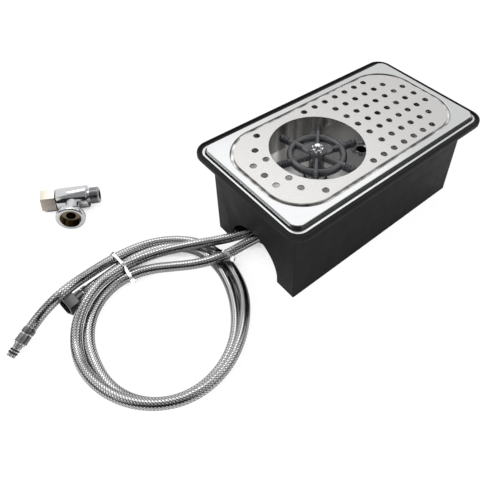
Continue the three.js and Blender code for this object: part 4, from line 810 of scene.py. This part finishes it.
# %% [markdown]
# ### The swivel nut
# The other end has a loose hexagonal nut. A flange on the hose's tail bears on a rubber washer,
# and the nut pulls it down on the tap. The nut starts as a flat hexagon with a round hole. Its
# rim is drawn down and filled in to a narrower hole, whose edge goes up and out to meet the
# first. Its corners could be turned off with a cone, but a bevel on the end edges is enough.

# %% The swivel nut
NUT_START, NUT_END = FERRULE_END + 0.6, FERRULE_END + 13.1
FLANGE_START = NUT_START + 2.9
WASHER_START, WASHER_END = FLANGE_START + 2.4, FLANGE_START + 4.2
NUT_ACROSS, NUT_BORE, NUT_NECK, NUT_WALL = 23, 9.6, 5.5, 2.6
FLANGE_RADIUS = 9.2


def corner_radius(across):
    """From a hexagon's middle to its corners."""
    return across / 2 / math.cos(math.pi / 6)


def is_level(edge):
    return abs(edge.verts[0].co.z - edge.verts[1].co.z) < 0.1


def swivel_nut(name, end, body, nodes):
    bm = bmesh.new()
    circle(bm, 6, corner_radius(NUT_ACROSS), z=NUT_END)
    circle(bm, 48, NUT_BORE, z=NUT_END)
    bmesh.ops.triangle_fill(bm, edges=bm.edges[:], use_beauty=True)
    rim = [e for e in bm.edges if e.is_boundary and all(v.co.xy.length > 11 for v in e.verts)]
    lower, low_rim = grow(bm, rim)
    move(bm, lower, 0, 0, NUT_START - NUT_END)
    neck_edges = edges_at(circle(bm, 48, NUT_NECK, z=NUT_START))
    bmesh.ops.triangle_fill(bm, edges=low_rim + neck_edges, use_beauty=True)
    wall, inner_edges = grow(bm, neck_edges)
    move(bm, wall, 0, 0, NUT_WALL)
    seat, seat_edges = grow(bm, inner_edges)
    resize(bm, seat, NUT_BORE / NUT_NECK, NUT_BORE / NUT_NECK, 1)
    bore_edges = [e for e in bm.edges if e.is_boundary
                  and all(abs(v.co.z - NUT_END) < 0.01 for v in e.verts)]
    bmesh.ops.bridge_loops(bm, edges=seat_edges + bore_edges)
    soften(bm, 0.7, 3, 40, lambda e: all(v.co.xy.length > 12 for v in e.verts) and is_level(e))
    place = ENDS[end]
    made = [finish_piece(bm, name, nut_nickel, body, [nodes[0]], place, smooth=25)]
    bm = bmesh.new()
    spun(bm, [
        (WATER_BORE, FERRULE_END), (5, FERRULE_END), (5, FLANGE_START),
        (FLANGE_RADIUS, FLANGE_START), (FLANGE_RADIUS, WASHER_START), (WATER_BORE, WASHER_START),
    ], 40)
    soften(bm, 0.15, 1)
    made.append(finish_piece(bm, name + "_tail", chrome, "rinser", [nodes[1]], place))
    bm = bmesh.new()
    spun(bm, [(4.8, WASHER_START), (FLANGE_RADIUS, WASHER_START), (FLANGE_RADIUS, WASHER_END),
              (4.8, WASHER_END)], 40)
    soften(bm, 0.25, 2)
    made.append(finish_piece(bm, name + "_washer", rubber, "rinser", [nodes[2]], place))
    return made


nut_b = swivel_nut("swivel_b", ("hose_b", True), "hose_nut",
                   ("hose_b_nut", "hose_b_tail", "hose_b_washer"))
nut_a = swivel_nut("swivel_a", ("hose_a", False), "rinser",
                   ("hose_a_port_nut", "hose_a_port_tail", "hose_a_port_washer"))

# %% [markdown]
# ### Cable ties
# A tie is a strap pulled tight round the hoses, so its path is the outline of what it holds:
# the convex hull of the hoses' sections in one upright plane. Short rods stand in for the
# sections, the hull operator wraps them, and the hull's two end faces are dropped. Where a hose
# lies on the counter, its strap is pressed flat under it.

# %% Cable ties
def crossings(place, angle, reach, count):
    """Where the hoses pass the upright plane through place: how far along it, and how high."""
    level = Vector((math.cos(angle), math.sin(angle), 0))
    normal = Vector((-level.y, level.x, 0))
    origin = Vector((*place, 0))
    found = []
    for points, _ in LINES.values():
        for a, b in zip(points, points[1:]):
            da, db = (a - origin).dot(normal), (b - origin).dot(normal)
            if da * db > 0 or da == db:
                continue
            point = a.lerp(b, da / (da - db)) - origin
            if abs(point.dot(level)) < reach:
                flat = (b - a).xy.normalized()
                lean = abs(flat.dot(normal.xy))
                found.append((point.dot(level), point.z, 1 / lean, abs(flat.dot(level.xy)) / lean))
    found.sort(key=lambda item: -item[1])
    return found[:count]


STRAP_WIDTH, STRAP_SHEET = 3.4, 1.1
SNUG = HOSE_RADIUS + 0.85
TIE_HEAD = (4.6, 6.0, 4.8)


def cable_tie(number, place, angle, reach, count, material):
    bm = bmesh.new()
    for along, height, stretch, slip in crossings(place, angle, reach, count):
        rod = bmesh.ops.create_cone(bm, segments=40, radius1=SNUG, radius2=SNUG,
                                    depth=STRAP_WIDTH)["verts"]
        reach_out = (SNUG + HOSE_RADIUS * (stretch - 1) + slip * STRAP_WIDTH / 2) / SNUG
        resize(bm, rod, reach_out, 1, 1)
        move(bm, rod, along, height, 0)
    hull = bmesh.ops.convex_hull(bm, input=bm.verts[:], use_existing_faces=False)
    spare = verts_of(hull["geom_interior"] + hull["geom_unused"])
    bmesh.ops.delete(bm, geom=spare, context="VERTS")
    face_outwards(bm)
    caps = [f for f in bm.faces if abs(f.normal.z) > 0.9]
    bmesh.ops.delete(bm, geom=caps, context="FACES")
    face_outwards(bm)
    bmesh.ops.solidify(bm, geom=bm.faces[:], thickness=-STRAP_SHEET)
    near = max(v.co.x for v in bm.verts)
    level = next(v.co.y for v in bm.verts if v.co.x > near - 0.01)
    head = bmesh.ops.create_cube(bm, size=1)["verts"]
    resize(bm, head, *TIE_HEAD)
    move(bm, head, near + 1.2, level, 0)
    round_edges(bm, edges_at(head), 0.6, 2)
    rotate(bm, bm.verts, "X", 90)
    for vert in bm.verts:
        vert.co.z = max(vert.co.z, 0)
    where = Matrix.Translation((*place, 0)) @ Matrix.Rotation(angle, 4, "Z")
    return finish_piece(bm, f"strap_{number}", material, "rinser", [f"cable_tie_{number}"],
                        where)


tie_1 = cable_tie(1, (-281, 87), -math.pi / 2, 40, 4, white_nylon)
tie_2 = cable_tie(2, (-181, 13.5), -1.126, 10, 1, clear_nylon)

for letter, nut, tie in (("a", nut_a, tie_1), ("b", nut_b, tie_2)):
    hose = "hose_" + letter
    points, length = LINES[hose]

# %% [markdown]
# ## The housing
# The housing is a moulded box without a floor. Its section goes up the wall, out under the rim,
# round the rim's edge, over a narrow ridge and down to the ledge that carries the pan. Bridging
# the outlines in that order and closing the row gives the whole wall its thickness at once.

# %% Shape the housing
bm = bmesh.new()
loft(bm, [
    (148.3, 74.5, 1.6, 0), (148.3, 74.5, 3.2, 121.5), (149.8, 76, 4.7, 123),
    (162.6, 92.3, 18, 123), (164, 93.7, 19.4, 123.6), (164.6, 94.3, 20, 125),
    (164.6, 94.3, 20, 129.2), (164, 93.7, 19.4, 130.8), (162.8, 92.5, 18.2, 131.4),
    (162.2, 91.9, 17.6, 131.4), (161.6, 91.3, 17, 131), (161.6, 91.3, 17, 129.6),
    (158.9, 87.4, 14, 129.6), (158.9, 87.4, 14, 128.4), (145.3, 71.5, 1, 128.4),
    (145.3, 71.5, 0.8, 0),
], steps=14, ring=True)
face_outwards(bm)
shell = mesh_object("housing_shell", bm)

# %% [markdown]
# The arch is cut by a round-topped block. A Boolean modifier cuts it cleanly, and its result is
# taken as a new mesh, so that the block can be thrown away.

# %% Cut the arch
ARCH_RADIUS, ARCH_SPRING, ARCH_FOOT = 44.5, 7, -20
ARCH_X, ARCH_DEPTH = -152, 12
bm = bmesh.new()
round_top = bmesh.ops.create_circle(bm, cap_ends=True, segments=96, radius=ARCH_RADIUS)["verts"]
for vert in round_top:
    if vert.co.y < 0:
        vert.co.y = ARCH_FOOT
bmesh.ops.remove_doubles(bm, verts=bm.verts, dist=0.001)
pull(bm, bm.faces[:], ARCH_DEPTH)
face_outwards(bm)
bmesh.ops.transform(bm, verts=bm.verts, matrix=(
    Matrix.Translation((ARCH_X, 0, ARCH_SPRING)) @ Matrix.Rotation(math.pi / 2, 4, "Z")
    @ Matrix.Rotation(math.pi / 2, 4, "X")))
cutter = mesh_object("arch_cutter", bm)
cut = shell.modifiers.new("arch", "BOOLEAN")
cut.object = cutter
cut.solver = "EXACT"
bpy.context.view_layer.update()
done = bpy.data.meshes.new_from_object(shell.evaluated_get(
    bpy.context.evaluated_depsgraph_get()))
bm = bmesh.new()
bm.from_mesh(done)
for spare in (shell, cutter):
    bpy.data.objects.remove(spare)
soften(bm, 0.5, 2, 60, lambda e: e.calc_length() > 0.4
       and min(v.co.z for v in e.verts) < 52 and max(v.co.x for v in e.verts) < -140)
finish_piece(bm, "housing_moulding", black_plastic, "rinser", ["housing"])

# %% [markdown]
# ## The drip pan
# The pan is pressed from one sheet. From the outside in it has a flat lip, a bright sloping
# band, a level border flush with the plate, a recess that holds the plate, and the deep basin.
# The row of outlines follows the upper skin, with small steps where the press rounds a bend.
# The floor is filled in round the valve's hole and the drain's, and the sheet's thickness comes
# from solidify.

# %% Press the pan
FLOOR_TOP, DRAIN_HOLE, VALVE_HOLE, PAN_SHEET = 88, 9.2, 10.4, 0.9
bm = bmesh.new()
loft(bm, [
    (158.6, 87.1, 14, 129.4), (157.0, 85.2, 12.9, 129.4), (156.6, 84.7, 12.6, 129.6),
    (156.3, 84.3, 12.4, 130.2), (154.5, 82.1, 10.8, 134.0), (154.1, 81.6, 10.5, 134.7),
    (153.5, 80.9, 10, 135), (147.3, 74.6, 50.6, 135), (146.7, 74, 50.1, 134.8),
    (146.4, 73.7, 49.9, 134.2), (146.3, 73.6, 49.8, 132.6), (145.8, 73.1, 49.4, 132),
    (139.2, 66.5, 42.6, 132), (138.3, 65.6, 41.8, 131.6), (138, 65.3, 41.5, 130.8),
    (138, 65.3, 41.5, 89.4), (137.8, 65.1, 41.3, 88.6), (137.3, 64.6, 40.8, 88.1),
    (136.6, 63.9, 40.2, FLOOR_TOP),
], steps=16)
bottom = [e for e in bm.edges if e.is_boundary and e.verts[0].co.z < FLOOR_TOP + 0.1]
for x, y, radius in ((DRAIN_X, DRAIN_Y, DRAIN_HOLE), (VALVE_X, 0, VALVE_HOLE)):
    bottom += edges_at(circle(bm, 64, radius, x, y, FLOOR_TOP))
bmesh.ops.triangle_fill(bm, edges=bottom, use_beauty=True)
face_outwards(bm)
if sum(f.normal.z * f.calc_area() for f in bm.faces) < 0:
    bmesh.ops.reverse_faces(bm, faces=bm.faces)
bmesh.ops.solidify(bm, geom=bm.faces[:], thickness=PAN_SHEET)


def is_floor(face):
    return face.calc_center_median().z < FLOOR_TOP + 0.2 and abs(face.normal.z) > 0.99


def is_inside(face):
    """The basin's walls and the groove round the plate, which see little light."""
    middle = face.calc_center_median()
    return middle.z < 134.5 and abs(middle.x) < 147 and abs(middle.y) < 74.4


# The basin's walls and the groove round the plate get painted shade with streaks of painted light.
finish_piece(bm, "pressed_pan", pressed_steel, "rinser", ["drip_pan"],
             smooth=30, others=[(basin_floor, is_floor), (basin_painted_shade_and_light, is_inside)])

# %% [markdown]
# ## The cover plate
# The plate is a flat sheet with rows of drain holes and one large round opening. A planar fill
# between its outline and all its holes makes the top face in one go. Extruding that face down
# gives the sheet, and a tiny bevel makes each hole's edge catch the light, as a punched edge
# does.

# %% Punch the cover plate
HOLE_ROWS = ((0, 1, 7), (0, 2, 7), (1, 1, 6), (2, 1, 7))  # skipped, left and right, per row
PLATE_OUTLINE, PLATE_SHEET, OPENING_RADIUS = (142.5, 69.8, 46), 1.2, 57.5
HOLE_RADIUS, HOLE_PITCH, ROW_PITCH, LAST_HOLE_X = 4, 18.2, 20, 129.2
OPENING_LIMIT, CORNER_LIMIT = 63.5, 39.8  # holes keep out of one circle, and in the other
CORNER_X, CORNER_Y = 96.5, 23.8  # the middles of the corners' circles
bm = bmesh.new()
outline(bm, *PLATE_OUTLINE, PLATE_TOP, 24)
circle(bm, 128, OPENING_RADIUS, VALVE_X, 0, PLATE_TOP)
count = 0
for row, (skipped, near, far) in enumerate(HOLE_ROWS):
    for side in ((1,) if row == 0 else (1, -1)):
        for end, holes in ((-1, near), (1, far)):
            for i in range(skipped, skipped + holes):
                x, y = end * (LAST_HOLE_X - HOLE_PITCH * i), side * row * ROW_PITCH
                corner = Vector((max(abs(x) - CORNER_X, 0), max(abs(y) - CORNER_Y, 0)))
                from_valve = math.hypot(x - VALVE_X, y)
                if from_valve < OPENING_LIMIT or corner.length > CORNER_LIMIT:
                    continue
                circle(bm, 28, HOLE_RADIUS, x, y, PLATE_TOP)
                count += 1
bmesh.ops.triangle_fill(bm, edges=bm.edges[:], use_beauty=True)
face_outwards(bm)
if bm.faces[0].normal.z < 0:
    bmesh.ops.reverse_faces(bm, faces=bm.faces)
upper = set(verts_of(bmesh.ops.extrude_face_region(bm, geom=bm.faces[:])["geom"]))
move(bm, [v for v in bm.verts if v not in upper], 0, 0, -PLATE_SHEET)
soften(bm, 0.3, 2, 60, lambda e: min(v.co.z for v in e.verts) > PLATE_TOP - 0.1)
finish_piece(bm, "punched_cover", satin_steel, "cover", ["cover_plate"],
             smooth=50)
print("holes", count)

# %% [markdown]
# The sheet's edge is turned down and faces the narrow groove in the pan. It is given dark nickel
# as painted shadow, so it is seen as a thin dark line round the plate.

# %% The plate's turned-down edge
bm = bmesh.new()
loft(bm, [
    (142.4, 69.7, 45.9, PLATE_TOP - 0.7), (142.4, 69.7, 45.9, PLATE_TOP - 3),
    (141.3, 68.6, 44.8, PLATE_TOP - 3), (141.3, 68.6, 44.8, PLATE_TOP - 0.7),
], steps=24, ring=True)
finish_piece(bm, "cover_hem_painted_shadow", nut_nickel, "cover")

# %% [markdown]
# ## The star
# The star is moulded plastic: a round ring, six arms that run through it, and a hub with a
# dish and two thin wings. Outside the ring each arm carries ridges, so that a wet pitcher does
# not slip. A ridged arm is a spun profile too, laid on its side and drawn out upwards into an
# oval, because a tall bar is stiffer than a flat one.

# %% Mould the star
STAR_MIDDLE = PLATE_TOP - 13
STAR_PLACE = Matrix.Translation((VALVE_X, 0, 0))
ARMS, FIRST_ARM, WING_TURN, RIDGE_PITCH = 6, 45, -45, 3.2
ARM_OVAL = 1.45  # an arm's height over its width
bm = bmesh.new()
round_ring(bm, 32.2, STAR_MIDDLE - 0.8, 4.3, 5.2, 24, 96)
arm_profile = [(0, 8.6), (3.7, 8.6), (3.7, 14), (3.3, 24), (3.5, 34.5)]
ridge = 38.0
while ridge < 48:
    arm_profile += [(3.9, ridge), (3.9, ridge + 1.6), (2.8, ridge + 2.0), (2.8, ridge + 2.8)]
    ridge += RIDGE_PITCH
arm_profile += [(3.8, 48.6), (3.8, 51.8), (3.3, 52.7), (0, 53)]
for number in range(ARMS):
    arm = spun(bm, arm_profile, 24, closed=False)
    rotate(bm, arm, "Y", 90)
    resize(bm, arm, 1, 1, ARM_OVAL)
    move(bm, arm, 0, 0, STAR_MIDDLE)
    rotate(bm, arm, "Z", FIRST_ARM + 360 / ARMS * number)
wings = spun(bm, [(0, -1.4), (0.8, -1.4), (0.97, -0.6), (1, 0), (0.97, 0.6), (0.8, 0.9), (0, 1)],
             64, closed=False)
resize(bm, wings, 18.5, 10.5, 1)
move(bm, wings, 0, 4.5, STAR_MIDDLE + 5.2)
rotate(bm, wings, "Z", WING_TURN)
spun(bm, [
    (2.75, 118), (8.2, 118), (8.2, 101.3), (9.4, 101.3), (9.4, 118), (10.2, 119.6), (11.2, 124),
    (11.4, 126), (11.4, 129.0), (11.1, 129.7), (10.5, 130), (9.9, 129.8), (9.3, 129.3),
    (7.7, 129.2), (3.9, 129.2), (3.9, 123.1), (2.75, 123.1),
], 64)
finish_piece(bm, "moulded_star", star_plastic, "star", ["star_actuator"],
             STAR_PLACE)

# %% [markdown]
# ## The spray nozzle
# The nozzle is a small chromed crown of six lobes round a button with a flattened top, which
# mirrors the sky as one bright spot. It starts as a turned head, and the notches between the
# lobes are made by scaling some of its points towards the axis.

# %% The spray nozzle
LOBE, NOTCH_RADIUS = 60, 4.4  # degrees from lobe to lobe, and how near Z a notch goes
bm = bmesh.new()
crown = spun(bm, [
    (0, 123.5), (3.5, 123.5), (3.5, 127.4), (6.6, 127.4), (7.2, 128), (7.3, 129),
    (7.3, 130.4), (7.3, 131.6), (7.1, 132.4), (6.7, 132.9), (5.6, 133), (5.2, 132.6),
    (5, 131), (4.1, 131), (4, 133), (3.95, 134.9), (3.8, 135.9),
    (3.4, 136.6), (2.8, 136.95), (1.5, 137.12), (0, 137.2),
], 72, closed=False)
for vert in crown:
    if vert.co.z > 129.5 and vert.co.xy.length > 4.6 and 19 < turn_of(vert) % LOBE < 41:
        vert.co.xy *= NOTCH_RADIUS / vert.co.xy.length
finish_piece(bm, "nozzle_head", satin_chrome, "star", ["spray_nozzle"], STAR_PLACE)

# %% [markdown]
# ## The valve's collar and the drain
# Under the star a slotted ring nut holds the valve to the pan's floor. Its lugs are faces of a
# turned ring that are pulled up. The drain is a turned flange with a bright ring, a groove and
# a lip round the bore. The groove is given duller chrome and the bore black rubber, both as
# painted shade.

# %% The collar
LUG, LUG_GAP, LUG_RISE = 45, 14, 2.2  # from one lug to the next and the gap, in degrees
bm = bmesh.new()
spun(bm, [(10.8, 89.2), (13.5, 89.2), (13.5, 93), (10.8, 93)], 64)
middles = {f: f.calc_center_median() for f in bm.faces}
lugs = [f for f, middle in middles.items() if middle.z > 92.9
        and math.degrees(math.atan2(middle.y, middle.x)) % LUG > LUG_GAP]
pull(bm, lugs, LUG_RISE)
bmesh.ops.delete(bm, geom=lugs, context="FACES")
soften(bm, 0.25, 2)
finish_piece(bm, "slotted_collar", chrome, "rinser", ["valve_collar"],
             STAR_PLACE)

# %% The drain
bm = bmesh.new()
spun(bm, [
    (6.4, 61), (9, 61), (9, 88.05), (14.2, 88.05), (14.5, 88.7), (14.1, 89.6), (13.5, 89.9),
    (13, 89.5), (12.7, 88.5), (9.3, 88.3), (9, 89), (8.5, 89.4), (7.9, 89.1),
    (7.2, 88), (6.4, 87.4),
], 72)
drain_place = Matrix.Translation((DRAIN_X, DRAIN_Y, 0))


# Painted shade: the bore is given black rubber.
def in_bore(face):
    middle = face.calc_center_median()
    return middle.xy.length < 7.1 and middle.z < 87.8


def in_moat(face):
    """The channel between the flange's rim and the bore's lip, given duller chrome as painted
    shade.
    """
    return 9.1 < face.calc_center_median().xy.length < 12.8


finish_piece(bm, "drain_fitting", chrome, "rinser", ["drain_flange"],
             drain_place, others=[(rubber, in_bore), (dull_chrome, in_moat)])

# %% [markdown]
# ## The tee
# The tee lies on its barrel and on the rim of its branch, so it is tipped a little. It is made
# level, with its run along X and its branch towards -Y, and one matrix lays it down. Turned
# parts that run into each other may simply overlap, because the joint line is what the eye
# reads as a cast corner.

# %% The tee's body
TEE_TIP = math.asin(2.7 / 36)
TEE_SPOT, TEE_HEADING = (-274.6, 229, 15.3), -0.5
TEE_PITCH = 1.35
tee_place = (Matrix.Translation(TEE_SPOT) @ Matrix.Rotation(TEE_HEADING, 4, "Z")
             @ Matrix.Rotation(-TEE_TIP, 4, "X"))
bm = bmesh.new()
run = [
    (6.5, -25.5), (9.6, -25.5), (9.6, -23.1), (7.4, -23.1), (7.4, -19), (14, -19),
    (14.7, -18.7), (15, -18.1), (15, 18.1), (14.7, 18.7), (14, 19), (9.6, 19.2),
    (9.6, 21.5),
]
thread = 21.8
while thread < 32.4:
    run += [(10.3, thread), (11.2, thread + 0.45), (11.2, thread + 0.75), (10.3, thread + 1.2)]
    thread += TEE_PITCH
run += [(9.9, 33), (6.5, 33.1)]
rotate(bm, spun(bm, run, 72), "Y", 90)
branch = spun(bm, [
    (6, 9), (8.5, 9), (8.5, 23.4), (9.2, 23.9), (10.4, 24.2), (10.4, 25.4), (9.6, 25.8),
    (9.6, 26.3), (10.4, 26.7), (10.4, 27.9), (9.6, 28.3), (9.6, 28.8), (10.5, 29.2),
    (10.5, 30.6), (12.4, 32), (16.2, 34.6), (17.3, 35.4), (17.7, 36.2), (17.7, 41), (17.3, 42.2),
    (16.3, 42.8), (15, 43), (13.6, 42.8), (12.8, 42.2), (12.8, 36), (6, 36),
], 72)
rotate(bm, branch, "X", 90)


def in_mouth(face):
    """The bare brass inside the branch's mouth, in a darker brass than the valve's as painted
    shade.
    """
    middle = face.calc_center_median()
    radius = Vector((middle.x, middle.z)).length
    return middle.y < -20 and (radius < 6.1 or radius < 12.9 and middle.y < -35.9)


def on_thread(face):
    return face.calc_center_median().x > 21.7


finish_piece(bm, "tee_casting", cast_chrome, "tee", ["tee_body"], tee_place,
             others=[(painted_shade_brass, in_mouth), (dull_chrome, on_thread)])

# %% The tee's union nut
TEE_NUT_ACROSS, TEE_NUT_LENGTH, TEE_NUT_X, TEE_NUT_TURN = 27, 17.8, -29.1, 10.8
bm = bmesh.new()
corner = corner_radius(TEE_NUT_ACROSS)
bmesh.ops.create_cone(bm, cap_ends=True, segments=6, radius1=corner, radius2=corner,
                      depth=TEE_NUT_LENGTH)
round_edges(bm, [e for e in bm.edges if is_level(e)], 0.9, 3)
mouth = next(f for f in bm.faces if f.normal.z < -0.99)
bmesh.ops.inset_region(bm, faces=[mouth], thickness=3.4)
rotate(bm, bm.verts, "Z", TEE_NUT_TURN)
rotate(bm, bm.verts, "Y", 90)
move(bm, bm.verts, TEE_NUT_X, 0, 0)
finish_piece(bm, "tee_nut_hex", warm_nickel, "tee_nut", ["tee_union_nut"], tee_place,
             smooth=25)

# %% [markdown]
# ## The pieces that stay as CAD
# The valve, the inlet block and the drain's lower parts are under the pan, and the tee's washer
# is inside its nut. Their CAD solids are right as they are, so they only change their finish.

# %% Finishes for the CAD solids
KEPT = {
    "valve_body": brass, "gland_nut": brass, "valve_stem": dull_chrome,
    "return_spring": dull_chrome, "poppet_seal": rubber, "valve_washer": rubber,
    "valve_gasket": rubber, "inlet_block": brass, "drain_gasket": rubber,
    "drain_locknut": chrome, "drain_barb": black_plastic, "tee_washer": rubber,
}
for name, material in KEPT.items():
    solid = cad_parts[name]
    solid.data.materials.clear()
    solid.data.materials.append(material)
